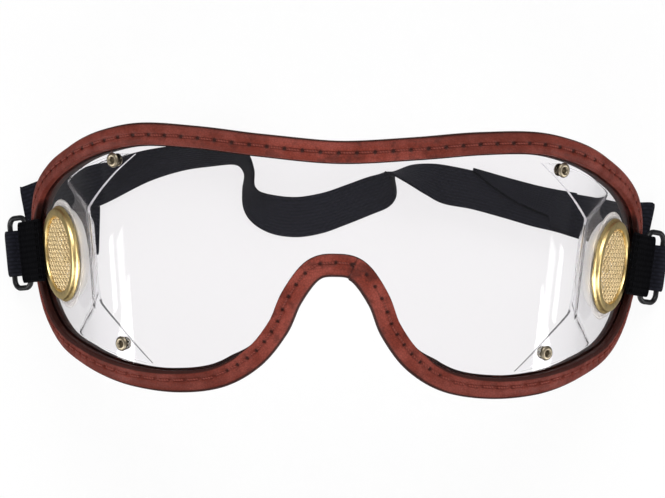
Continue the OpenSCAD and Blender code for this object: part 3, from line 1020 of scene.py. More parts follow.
@dataclass
class Binding:
    """The leather strip folded over the lens edge, with its stitches and its lap at the nose.

    Sizes are in millimetres: covers are how far the leaves reach in from the lens edge, row_n is
    the stitch row's place and row_shift how much further in it runs over the nose arch, pitch is
    the length of a stitch, and seam_x and lap say where the strip's ends overlap and how far.
    """

    front_cover: float = 4.0
    back_cover: float = 5.0
    gap: float = 0.15
    leather_t: float = 1.6
    pad_t: float = 2.0
    stations: int = 1120
    row_n: float = -1.65
    row_shift: float = 0.4
    pitch: float = 4.2
    denser: float = 0.26
    seam_x: float = 3.8
    lap: float = 14.0
    lap_h: float = 0.42
    pit_r: float = 0.76
    pit_h: float = 0.34
    pucker_h: float = 0.05
    thread_r: float = 0.27
    thread_h: float = 0.26
    thread_sunk: float = 0.2
    # painted shade: how much the dark band at the inner edge widens and narrows, and how faint the painted
    # shade in the stitch holes gets along the cheeks
    shade_rim_wide: float = 0.9
    shade_rim_trim: float = 0.8
    hole_shade_faint: float = 0.6
    back_trim: float = 0.2

    def __post_init__(self) -> None:
        """Works out the outline, its outward directions, its running length and the stitch beat.

        The beat grows by 1 a stitch, and by denser more over the nose arch. The band of painted
        shade along the inner edge is shade_rim_wide wider where the outline faces away from the nose or
        down, and shade_rim_trim narrower on the brow and the arch; the back leaf is trimmed with it. The
        painted shade in the stitch holes shows less, by faint, along the cheeks.
        """
        self.edge = WRAP.edge(self.stations)
        self.out = WRAP.outward(self.edge)
        steps = np.linalg.norm(np.diff(self.edge, axis=0, append=self.edge[:1]), axis=1)
        self.length = float(steps.sum())
        self.run = run_along(self.edge)
        side = np.abs(self.edge[:, 0])
        down, away = -self.out[:, 1], self.out[:, 0] * np.sign(self.edge[:, 0])
        # the arch is all that faces down within 24 to 32 of the middle plane
        self.arch = smooth01((32 - side) / 8) * smooth01((down + 0.1) / 0.3)
        nose = self.arch * smooth01((25 - side) / 7)
        lower = smooth01((side - 14) / 10) * np.clip(away * 0.9 + down * 0.5, 0, 1)
        # painted shade: the dark band at the inner edge is wider where the outline faces away from the nose
        # or down, narrower on the brow and the arch
        self.rim = (self.shade_rim_wide * lower
                    - self.shade_rim_trim * np.maximum(nose, np.clip(-down, 0, 1) ** 2))
        # painted shade in the stitch holes, fainter along the cheeks
        self.shown = 1 - self.hole_shade_faint * smooth01((down - 0.2) / 0.5) * (1 - self.arch)
        beat = np.concatenate([[0], np.cumsum(steps * (1 + self.denser * self.arch))])
        self.count = int(round(beat[-1] / self.pitch))
        self.beat = beat * self.count / beat[-1]

    @property
    def front_h(self) -> float:
        """Height of the front face off the middle of the lens."""
        return WRAP.lens_t / 2 + self.gap + self.leather_t

    @property
    def back_h(self) -> float:
        """Depth of the back face."""
        return WRAP.lens_t / 2 + self.gap + self.pad_t

    def section(self) -> Array:
        """The folded strip's outline: cut edges, crowned faces and the rolled fold.

        It is a smooth curve through key points (n, h), n outwards and h off the lens.

        Returns:
            Three points for each key point.
        """
        i, f, b, o = WRAP.lens_t / 2 + self.gap, self.front_h, self.back_h, WRAP.fold_out
        c, k = self.front_cover, self.back_cover
        key = np.array([
            [0.25, i], [-c * 0.5, i], [-c + 0.1, i], [-c, i + 0.12], [-c, f - 0.5],
            [-c + 0.14, f - 0.2], [-c + 0.5, f - 0.04], [-c * 0.72, f + 0.1],
            [self.row_n - 0.55, f + 0.08],
            [self.row_n, f - 0.06], [self.row_n + 0.55, f + 0.06], [-0.55, f], [o * 0.3, f * 0.86],
            [o * 0.66, f * 0.6], [o * 0.92, f * 0.28], [o, -0.1], [o * 0.95, -b * 0.35],
            [o * 0.74, -b * 0.66], [o * 0.4, -b * 0.87], [-0.3, -b * 0.98], [-1.2, -b],
            [self.row_n - 0.3, -b + 0.05], [-k + 0.8, -b], [-k + 0.25, -b + 0.15], [-k, -b + 0.5],
            [-k, -i - 0.12], [-k + 0.1, -i], [-k * 0.5, -i], [0.25, -i]])
        u = np.linspace(0, len(key), 3 * len(key), endpoint=False)
        return catmull(key, u, True)

    def along(self, where: Array) -> tuple[Array, Array]:
        """Outline point and outward direction, between the stations in proportion.

        Args:
            where: running lengths.

        Returns:
            The points (s, t) and their outward directions.
        """
        x = where % self.length
        run = np.append(self.run, self.length)
        e, o = (np.concatenate([v, v[:1]]) for v in (self.edge, self.out))
        return (np.stack([np.interp(x, run, e[:, k]) for k in (0, 1)], -1),
                unit(np.stack([np.interp(x, run, o[:, k]) for k in (0, 1)], -1)))

    def at(self, where: Array, n: Array, h: Array) -> Array:
        """Finished points over the outline.

        Args:
            where: running lengths.
            n: distances outwards.
            h: heights off the middle of the lens.

        Returns:
            Points [..., 3].
        """
        e, o = self.along(where)
        p = e + o * np.asarray(n)[..., None]
        return WRAP.point(p[..., 0], p[..., 1], h)

    def seam_at(self) -> float:
        """Running length of the lap's cut end, at seam_x over the nose."""
        near = (self.edge[:, 0] > 0) & (self.run < 30)
        return float(np.interp(self.seam_x, self.edge[near, 0], self.run[near]))

    def strip(self) -> Surface:
        """The section carried round the outline.

        Its height changes by: pits where the needle went in, exp(-(d / pit_r)^2) with d the
        distance to the hole; a furrow along the row and a pucker between holes, the cosine of
        the stitch phase; slow unevenness of hand-cut hide, three sines of the running length;
        and a lap whose end stands lap_h proud and thins out over its length. The stored number
        "crown" rises in from both borders of the front face, and falls in the pits, along the
        furrow and at the lap's cut end; it is 0 on the back leaf and the lower half of the fold.
        Where it is low the leather gets painted shade.

        Returns:
            The closed strip.
        """
        sec = self.section()
        x = self.run[:, None]
        n, h = sec[None, :, 0], sec[None, :, 1]
        arch = self.arch[:, None]
        rim = self.rim[:, None]
        n = np.where((h < 0) & (n < 0), n * (1 - self.back_trim * np.abs(rim)), n)
        row = self.row_n - self.row_shift * arch
        front = smooth01((h - 0.8) / 0.7)
        back = smooth01((-h - 1.0) / 0.7)
        phase = self.beat[:-1, None] % 1.0
        d = np.minimum(phase, 1 - phase) * self.pitch
        pit = np.exp(-(d ** 2 + (n - row) ** 2) / self.pit_r ** 2)
        furrow = np.exp(-((n - row) / 0.6) ** 2)
        pucker = np.cos(2 * np.pi * phase) * np.exp(-((n - row) / 1.5) ** 2)
        w = 2 * np.pi * x / self.length
        slow = 0.04 * (np.sin(7 * w + 0.4) + np.sin(13 * w + 2.1 + n * 0.5)
                       + np.sin(29 * w + n) * 0.5)
        past = (x - self.seam_at()) % self.length
        step = smooth01(past / 0.25) * (1 - smooth01(past / self.lap)) * self.lap_h
        face = front - back
        h2 = h + face * (slow + step - self.pit_h * pit - self.pucker_h * furrow
                         - self.pucker_h * pucker)
        n2 = n + (1 - np.abs(face)) * np.where(n > 0, 1, 0) * (slow + step * 0.7)
        p = self.edge[:, None] + self.out[:, None] * n2[..., None]
        points = WRAP.point(p[..., 0], p[..., 1], h2)
        seam = np.exp(-((np.minimum(past, self.length - past)) / 0.3) ** 2)
        # painted shade along both borders of the front face, over a band that the rim widens or narrows
        rise = smooth01((n + self.front_cover - rim) / 1.1) * smooth01((1.45 - n) / 1.2)
        # painted shade in the stitch holes and along the furrow; the lap's cut end darkens too
        crown = rise * (1 - pit * self.shown[:, None]) * (1 - 0.8 * seam) * (1 - 0.12 * furrow)
        # painted shade over the back leaf and the lower half of the fold
        crown = np.where(h < 0.2, 0.0, np.clip(crown, 0, 1))
        return Surface.grid(points, True, True,
                            crown=np.broadcast_to(crown, h2.shape)).outwards()

    def stitches(self) -> Surface:
        """One thread hump a stitch on each face, dipping into the pits at its ends.

        Height over the leather: thread_h sin(pi v)^0.5 - thread_sunk, v along the stitch. The
        thread thins out at both ends by (1 - (2v - 1)^6)^0.5.

        Returns:
            All stitches.
        """
        v = np.linspace(0, 1, 11)
        parts = []
        run = np.append(self.run, self.length)
        lift = self.thread_h * np.sin(np.pi * v) ** 0.5 - self.thread_sunk
        r = self.thread_r * np.sqrt(np.clip(1 - (2 * v - 1) ** 6, 1e-5, 1))
        for k in range(self.count):
            where = np.interp(k + 0.09 + 0.82 * v, self.beat, run)
            arch = float(np.interp(where[5], self.run, self.arch))
            n = self.row_n + 0.07 * np.sin(k * 2.4) - self.row_shift * arch
            for side, face in ((1, self.front_h - 0.02), (-1, self.back_h - 0.02)):
                path = self.at(where, np.full(len(v), n), side * (face + lift))
                parts.append(tube(path, r, 7))
        return Surface.joined(parts)

    def make(self, looks: Looks) -> None:
        """Builds and dresses the strip and its thread."""
        add(self.strip().build("leather_edge", looks.leather, sharp=50), "frame", "leather",
            "leather_binding")
        add(self.stitches().build("edge_stitching", looks.thread, sharp=60), "frame", "leather")


@dataclass
class Vent:
    """A round brass vent: rolled bezel, woven screen and the washer that holds them inside."""

    s: float = 87.7
    y: float = 0.6
    open_r: float = 10.0
    flange_r: float = 12.4
    rim_h: float = 1.4
    face_h: float = 0.5
    screen_r: float = 10.34
    screen_z: float = 0.85
    dome: float = 0.6
    weave: float = 0.22
    wire: float = 0.46
    mesh_pitch: float = 1.12
    wire_end: float = 1e-4
    washer_oval: float = 1.9
    spokes: int = 160

    def placed(self, local: Array) -> Array:
        """Points of the vent's own frame, in the finished part."""
        o, axes = WRAP.frame_at(self.s, self.y)
        return o + local @ axes.T

    def spun(self, profile: Array, drop: Array, oval: float = 0.0) -> Surface:
        """Profile (r, z) turned round the axis.

        A point that is tied to the bent lens falls with it, by (r cos a)^2 / (2 side_r).

        Args:
            profile: points (r, z).
            drop: 1 for a point that is tied to the lens, else 0.
            oval: how much narrower the part beyond flange_r is along s, by cos(a)^2.

        Returns:
            The closed surface.
        """
        a = np.linspace(0, 2 * np.pi, self.spokes, endpoint=False)[:, None]
        r, z = profile[None, :, 0], profile[None, :, 1]
        r = r - np.clip((r - self.flange_r) / 2, 0, 1) * oval * np.cos(a) ** 2
        z = z - (r * np.cos(a)) ** 2 / (2 * WRAP.side_r) * drop
        local = np.stack([r * np.cos(a), r * np.sin(a), np.broadcast_to(z, r.shape)], -1)
        return Surface.grid(self.placed(local), True, True).outwards()

    def bezel(self) -> Surface:
        """Barrel, a flat face ring with rounded lips, an upright wall and a small foot.

        Its profile (r, z) runs from the barrel's lip outwards to the foot on the lens, whose
        underside follows the bend, and back down the barrel.

        Returns:
            The closed ring.
        """
        o, r, z = self.open_r, self.flange_r, self.face_h + self.rim_h
        bead = np.array([[o, 0.5], [o, z - 0.4], [o + 0.1, z - 0.18], [o + 0.32, z - 0.06],
                         [o + 0.7, z], [r - 1.1, z], [r - 0.62, z - 0.06], [r - 0.4, z - 0.2],
                         [r - 0.3, z - 0.45], [r - 0.28, z - 0.9], [r - 0.22, 0.95],
                         [r - 0.05, 0.78], [r + 0.25, 0.7], [r + 0.36, 0.58]])
        tail = np.array([[r + 0.3, 0.48], [r - 0.25, 0.45], [11.0, 0.46], [10.9, 0.2],
                         [10.9, -2.0], [10.7, -2.12], [10.5, -2.0], [10.5, -0.1],
                         [10.35, -0.05], [10.02, 0.02]])
        key = np.concatenate([bead, tail])
        drop = np.zeros(len(key))
        drop[len(bead):len(bead) + 3] = 1
        return self.spun(key, drop)

    def washer(self) -> Surface:
        """The retainer inside: a flat ring with a short inner sleeve, its face on the lens.

        Its profile (r, z) starts with the three points that follow the lens.

        Returns:
            The closed ring, narrower along s.
        """
        key = np.array([[11.05, -0.52], [13.9, -0.52], [14.25, -0.6], [14.4, -0.8], [14.3, -1.02],
                        [13.6, -1.2], [12.2, -1.5], [11.9, -2.7], [11.6, -3.05], [11.2, -3.1],
                        [9.8, -3.1], [9.5, -3.0], [9.4, -2.7], [9.4, -0.2], [9.5, -0.06],
                        [9.9, -0.04], [10.38, -0.06], [10.4, -0.3], [10.4, -2.28],
                        [10.98, -2.3], [11.0, -2.2]])
        drop = np.zeros(len(key))
        drop[:3] = 1
        return self.spun(key, drop, self.washer_oval)

    def screen(self) -> Surface:
        """Plain woven wire, domed, each wire waving over and under those that it crosses.

        A wire at distance c from the middle runs to (screen_r^2 - c^2)^0.5 both ways. It stands
        at screen_z + dome (1 - (x^2 + c^2) / screen_r^2), plus or minus weave cos(pi x / pitch),
        the sign alternating from wire to wire.

        Returns:
            All wires.
        """
        edge = self.screen_r
        n = int(edge / self.mesh_pitch)
        parts = []
        for k in range(-n, n + 1):
            c = k * self.mesh_pitch
            half = np.sqrt(edge ** 2 - c ** 2)
            x = np.linspace(-half, half, max(9, int(half / self.mesh_pitch * 4)))
            wave = self.weave * np.cos(np.pi * x / self.mesh_pitch) * (-1) ** k
            z = self.screen_z + self.dome * (1 - (x * x + c * c) / edge ** 2)
            r = np.full(len(x), self.wire / 2)
            r[[0, -1]] = self.wire_end
            flat = np.full(len(x), c)
            parts.append(tube(self.placed(np.stack([x, flat, z + wave], 1)), r, 6))
            parts.append(tube(self.placed(np.stack([flat, x, z - wave], 1)), r, 6))
        return Surface.joined(parts)

    def make(self, looks: Looks, side: Side) -> None:
        """Builds and dresses one side's bezel, screen and washer.

        Args:
            looks: the materials.
            side: the side.
        """
        at = side.value
        add(self.bezel().on(side).build(f"bezel_{at}", looks.brass), "frame", "brass",
            f"vent_bezel_{at}")
        add(self.screen().on(side).build(f"screen_{at}", looks.wire, sharp=60), "frame",
            "brass_mesh", f"vent_screen_{at}")
        add(self.washer().on(side).build(f"washer_{at}", looks.washer), "frame", "pale_plastic",
            f"vent_retainer_{at}")


@dataclass
class Eyelets:
    """The rolled eyelets that hold a baffle: one above and one below on each side."""

    s: float = 57.1
    high: float = 24.6
    low: float = -22.0
    hole_r: float = 1.2
    spokes: int = 40

    def places(self) -> list[tuple[float, float]]:
        """Pattern places on the right."""
        return [(self.s, self.high), (self.s + 1, self.low)]

    def one(self, s: float, t: float) -> Surface:
        """A spun tube with a domed flange in front and a rolled end behind the baffle.

        Its profile (r, z) is a smooth curve up the bore, over the flange and down the barrel.

        Args:
            s: along the pattern from the middle.
            t: up the pattern.

        Returns:
            The closed eyelet.
        """
        o, axes = WRAP.frame_at(s, t)
        lo = -BAFFLE.flush - BAFFLE.thick / 2 - 0.3
        key = np.array([[0.66, lo - 0.36], [0.68, -0.2], [0.7, 0.7], [0.86, 0.93], [1.15, 1.06],
                        [1.5, 1.0], [1.78, 0.82], [1.9, 0.6], [1.84, 0.53], [1.1, 0.52],
                        [1.08, 0.4], [1.08, lo + 0.02], [1.5, lo], [1.62, lo - 0.1],
                        [1.6, lo - 0.3], [1.35, lo - 0.44], [0.95, lo - 0.46],
                        [0.75, lo - 0.43]])
        key = catmull(key, np.linspace(0, len(key), 3 * len(key), endpoint=False), True)
        a = np.linspace(0, 2 * np.pi, self.spokes, endpoint=False)[:, None]
        x, y = key[None, :, 0] * np.cos(a), key[None, :, 0] * np.sin(a)
        local = np.stack([x, y, np.broadcast_to(key[None, :, 1], x.shape)], -1)
        return Surface.grid(o + local @ axes.T, True, True).outwards()

    def pair(self) -> Surface:
        """Both eyelets of the right side."""
        return Surface.joined([self.one(s, t) for s, t in self.places()])

    def make(self, looks: Looks, side: Side) -> None:
        """Builds and dresses one side's eyelets."""
        add(self.pair().on(side).build(f"eyelets_{side.value}", looks.eyelet), "frame",
            "eyelet_metal", f"baffle_eyelets_{side.value}")


@dataclass
class Baffle:
    """A clear film, flat on the lens at its eyelets, creased, and standing off behind the vent.

    nose holds the corners (s, t) of its nose edge, and crease the lines (s, t, lean) where it
    leaves the lens; ramp is how far past them it reaches its full lift.
    """

    thick: float = 0.6
    off_lens: float = 0.1
    lift: float = 5.4
    nose: tuple[tuple[float, float], ...] = (
        (48.4, -27.4), (53.4, -22.8), (59.7, -17.0), (66.4, -11.7), (67.8, -4.0), (68.4, 4.0),
        (69.0, 12.6), (57.0, 21.8), (49.4, 27.2))
    crease: tuple[tuple[float, float, float], ...] = (
        (69.0, 0.0, 0.0), (68.0, 13.2, 0.994), (66.0, -12.0, -0.982))
    ramp: float = 12.0
    clear: float = 5.35
    clear_more: float = 2.55
    low: float = -26.7
    high: float = 26.2
    rows: int = 84
    edge_count: int = 2400

    @property
    def flush(self) -> float:
        """Depth of its middle where it lies on the lens."""
        return WRAP.lens_t / 2 + self.off_lens + self.thick / 2

    def film(self) -> Surface:
        """The film of the right side.

        Its nose edge runs straight from point to point. Its temple edge keeps inside the lens
        outline, by clear + clear_more smooth((28 - |t|) / 8). Its depth is flush + lift
        smooth(d / ramp), d being the least distance past the three creases, each a line through
        (s, t) that leans by an angle. The stored number "cut" marks the slanting parts of the
        nose edge: 1 above, where a painted highlight lies, and -1 below, where a painted dark line
        lies. "veil" is 1 past the creases, in the upper part, where a painted reflection lies.

        Returns:
            The closed film.
        """
        edge = WRAP.edge(self.edge_count)
        inset = self.clear + self.clear_more * smooth01((28 - np.abs(edge[:, 1])) / 8)
        line = (edge - WRAP.outward(edge) * inset[:, None])[edge[:, 0] > 50]
        line = line[np.argsort(line[:, 1])]
        t = np.linspace(self.low, self.high, self.rows)
        nose = np.array(self.nose)
        a = np.interp(t, nose[:, 1], nose[:, 0])
        b = np.maximum(a + 2, np.interp(t, line[:, 1], line[:, 0]))
        part = np.concatenate([[0, 0.012], np.linspace(0.03, 1, 46)])
        s = a[:, None] + (b - a)[:, None] * part
        st = np.stack([s, np.broadcast_to(t[:, None], s.shape)], -1).reshape(-1, 2)
        quads = Surface.grid(np.zeros((self.rows, len(part), 3))).quads[:, ::-1]
        slant = smooth01((t - 10) / 2) - smooth01((-10 - t) / 2)
        # 1 where the upper nose edge gets a painted highlight, -1 where the lower one gets a painted dark
        # line
        cut = np.where(part == 0, 1.0, 0.0) * slant[:, None]
        st, quads = pierced(st, quads, [(*place, EYELETS.hole_r) for place in EYELETS.places()])
        past = np.min([(st[:, 0] - x) * np.cos(lean) - (st[:, 1] - y) * np.sin(lean)
                       for x, y, lean in self.crease], 0)
        # where the bent film gets a painted reflection
        veil = smooth01(past / 1.2 - 0.6) * smooth01((st[:, 1] + 14) / 8)
        depth = -self.flush - self.lift * smooth01(past / self.ramp)
        upper, lower = (WRAP.point(st[:, 0], st[:, 1], depth + k * self.thick / 2)
                        for k in (1, -1))
        sheet = Surface(upper, quads, None, {"cut": cut.reshape(-1), "veil": veil})
        return sheet.thickened(lower).outwards()

    def make(self, looks: Looks, side: Side) -> None:
        """Builds and dresses one side's film."""
        add(self.film().on(side).build(f"film_{side.value}", looks.film), "frame", "clear_film",
            f"baffle_{side.value}")


@dataclass
class Band:
    """Woven band of that width and thickness, with soft selvedges."""

    width: float
    thick: float

    def swept(self, middle: Array, wide: Array) -> Surface:
        """The band's section carried along a line.

        It thins towards its selvedges by (1 - a^10)^0.5, a being the share of the half width.

        Args:
            middle: points of its middle line [n, 3].
            wide: half width as a vector at each point [n, 3].

        Returns:
            The closed band, with UV in millimetres.
        """
        a = -np.cos(np.linspace(0, np.pi, 15))
        b = np.sqrt(np.clip(1 - a ** 10, 0, 1)) * 0.5
        across = np.concatenate([a, a[::-1][1:-1]])
        above = np.concatenate([b, -b[::-1][1:-1]])
        go = unit(np.gradient(middle, axis=0))
        up = unit(np.cross(wide, go))
        rows = (middle[:, None] + wide[:, None] * across[None, :, None]
                + up[:, None] * above[None, :, None] * self.thick)
        uv = np.stack(np.broadcast_arrays(run_along(middle)[:, None], across * self.width / 2), -1)
        ends = [(middle[k, None] + wide[k, None] * across[:, None])[None] for k in (0, -1)]
        return Surface.grid(np.concatenate([ends[0], rows, ends[1]]), False, True,
                            uv=np.concatenate([uv[:1], uv, uv[-1:]])).outwards()


@dataclass
class Anchor:
    """One side's webbing tab over the binding, and the strap's sewn eye on the ring's free bar.

    wire is the thickness that the strap's height was set out for, and bar the thinner one that
    the ring is made of. Between bend_from and bend_to, which alone are in metres, the eye turns
    from following the ring to following the frame.
    """

    tab: Band = field(default_factory=lambda: Band(16.8, 1.0))
    elastic: Band = field(default_factory=lambda: Band(12.7, 0.9))
    tab_y: float = 0.8
    front_end: float = 96.6
    back_end: float = 103.2
    bar_out: float = 3.4
    play: float = 0.1
    wire: float = 2.2
    ring_w: float = 7.0
    eye_tail: float = 4.3
    bar: float = 1.5
    bar_half: float = 9.7
    corner: float = 2.3
    rows_at: tuple[float, ...] = (98.0, 99.7)
    row_half: float = 7.2
    row_step: float = 1.6
    stitch: float = 0.55
    stitch_r: float = 0.24
    over_leather: float = 1.0
    under_leather: float = 0.75
    fold_r: float = 1.9
    bend_from: tuple[float, float, float] = (0.0882, 0, 0.003)
    bend_to: tuple[float, float, float] = (0.0858, 0, 0.0005)

    def __post_init__(self) -> None:
        """Works out the held bar's place and turn, and how far down and out the free bar is."""
        reach = float(WRAP.reach(np.array(WRAP.fold_s)))
        self.turn = float(np.arctan(WRAP.flare / WRAP.front_r * reach))
        self.hinge = np.array([reach + self.bar_out, self.tab_y, WRAP.hinge_z])
        self.drop = WRAP.hinge_z - self.elastic.thick - self.play - self.wire / 2 - 0.02
        self.out_x = self.ring_w * float(np.cos(np.arcsin(self.drop / self.ring_w)))

    def local(self, xz: Array, w: Array | float = 0.0) -> Array:
        """Points (x, z) across the bar and w along it, in the finished part."""
        c, s = np.cos(self.turn), np.sin(self.turn)
        return self.hinge + np.stack([xz[:, 0] * c + w * s, -xz[:, 0] * s + w * c, xz[:, 1]], -1)

    def seen(self, s: Array, h: float) -> Array:
        """A pattern point as seen along the bar."""
        p = WRAP.point(s, self.tab_y, h)
        return np.stack([(p[:, 0] - self.hinge[0]) * np.cos(self.turn), p[:, 2] - self.hinge[2]], 1)

    def woven(self, band: Band, key: Array, last: float, count: int) -> Surface:
        """A band along a smooth curve through points across the bar, its width along the bar.

        Args:
            band: the band.
            key: points (x, z).
            last: the curve's last parameter, whole numbers being the points.
            count: how many points the curve gets.

        Returns:
            The band.
        """
        path = self.local(catmull(key, np.linspace(0, last, count), False))
        along_bar = np.array([np.sin(self.turn), np.cos(self.turn), 0.0]) * (band.width / 2)
        return band.swept(path, np.broadcast_to(along_bar, path.shape))

    def free_bar(self) -> Array:
        """Middle of the free bar, (x, z) from the hinge; it lies lower as it is thinner."""
        low = self.drop + (self.wire - self.bar) / 2
        return np.array([np.sqrt(self.ring_w ** 2 - low ** 2), -low])

    def ring_piece(self) -> Surface:
        """The rectangular ring: round wire along a rectangle with quarter-circle corners.

        Returns:
            The closed ring.
        """
        go, c, w, h = self.free_bar() / self.ring_w, self.corner, self.ring_w, self.bar_half
        a = np.radians(np.linspace(0, 90, 10))
        middles = ((w - c, h - c), (c, h - c), (c, c - h), (w - c, c - h))
        loop = np.concatenate([
            np.stack([u + c * np.cos(a + k * np.pi / 2), v + c * np.sin(a + k * np.pi / 2)], 1)
            for k, (u, v) in enumerate(middles)])
        fine = np.concatenate([np.linspace(p, q, 8, endpoint=False)
                               for p, q in zip(loop, np.roll(loop, -1, 0))])
        up = self.local(np.array([[-go[1], go[0]]]))[0] - self.hinge
        return tube(self.local(fine[:, :1] * go, fine[:, 1]), self.bar / 2, 16, up,
                    True).outwards()

    def tab_piece(self) -> Surface:
        """Front leaf, half turn round the held bar, back leaf: one folded length of webbing.

        Returns:
            The closed tab.
        """
        front = self.seen(np.linspace(self.front_end, WRAP.fold_s - 1.8, 18),
                          BINDING.front_h + self.over_leather)
        a = np.radians(np.linspace(55, -125, 24))
        fold = self.fold_r * np.stack([np.cos(a), np.sin(a)], 1)
        back = self.seen(np.linspace(WRAP.fold_s - 1.6, self.back_end, 10),
                         -BINDING.back_h - self.under_leather)
        key = np.concatenate([front, fold, back])
        return self.woven(self.tab, key, len(key) - 1, 160)

    def tab_thread(self) -> Surface:
        """Two rows of short stitches across the front leaf, near its end.

        A stitch is an arch, 0.1 - 0.5 v^2 high at v along it.

        Returns:
            All stitches.
        """
        parts = []
        v = np.linspace(-self.stitch, self.stitch, 7)
        r = self.stitch_r * np.sqrt(1.001 - (v / self.stitch) ** 4)
        for s in self.rows_at:
            base = self.seen(np.array([s]), BINDING.front_h + self.over_leather + 0.5)
            for w in np.arange(-self.row_half, self.row_half + 0.1, self.row_step):
                z = base + np.array([[0, 1]]) * (0.1 - 0.5 * v[:, None] ** 2)
                parts.append(tube(self.local(z, w + v), r, 6))
        return Surface.joined(parts)

    def eye_piece(self) -> Surface:
        """The strap's end round the free bar, back on itself and sewn down, as far as the strap.

        Returns:
            The closed band.
        """
        r = self.bar / 2 + self.play + self.elastic.thick / 2
        a = np.radians(np.linspace(-90, 150, 34))
        c = self.free_bar()
        arc = c + r * np.stack([np.cos(a), np.sin(a)], 1)
        tail = self.out_x - self.eye_tail - 0.5 - c[0]
        low = np.stack([np.linspace(tail, -0.25, 10), np.full(10, -r)], 1) + c
        top = c + np.array([[-2.2, 0.1], [-2.7, -0.45], [-3.2, -r + 0.98], [-3.9, -r + 0.95]])
        key = np.concatenate([low, arc, top])
        return self.woven(self.elastic, key, len(key) - 1, 150)

    def make(self, looks: Looks, side: Side) -> None:
        """Builds and dresses one side's tab, its thread, the strap's eye and the ring.

        The eye follows the ring at its outer end and the frame at its inner one.

        Args:
            looks: the materials.
            side: the side.
        """
        at = side.value
        add(self.tab_piece().on(side).build(f"tab_{at}", looks.webbing, sharp=80), "frame",
            "webbing", f"strap_tab_{at}")
        add(self.tab_thread().on(side).build(f"tab_stitching_{at}", looks.tab_thread, sharp=60),
            "frame", "webbing")
        eye = self.eye_piece().on(side).build(f"strap_eye_{at}", looks.elastic, sharp=80)
        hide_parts(f"strap_loop_{at}")
        start, end = ((side.sign * x, y, z) for x, y, z in (self.bend_from, self.bend_to))
        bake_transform(eye, f"{at}_ring", "frame", start, end)
        add(self.ring_piece().on(side).build(f"ring_{at}", looks.ring), f"{at}_ring",
            "black_plastic", f"strap_ring_{at}")


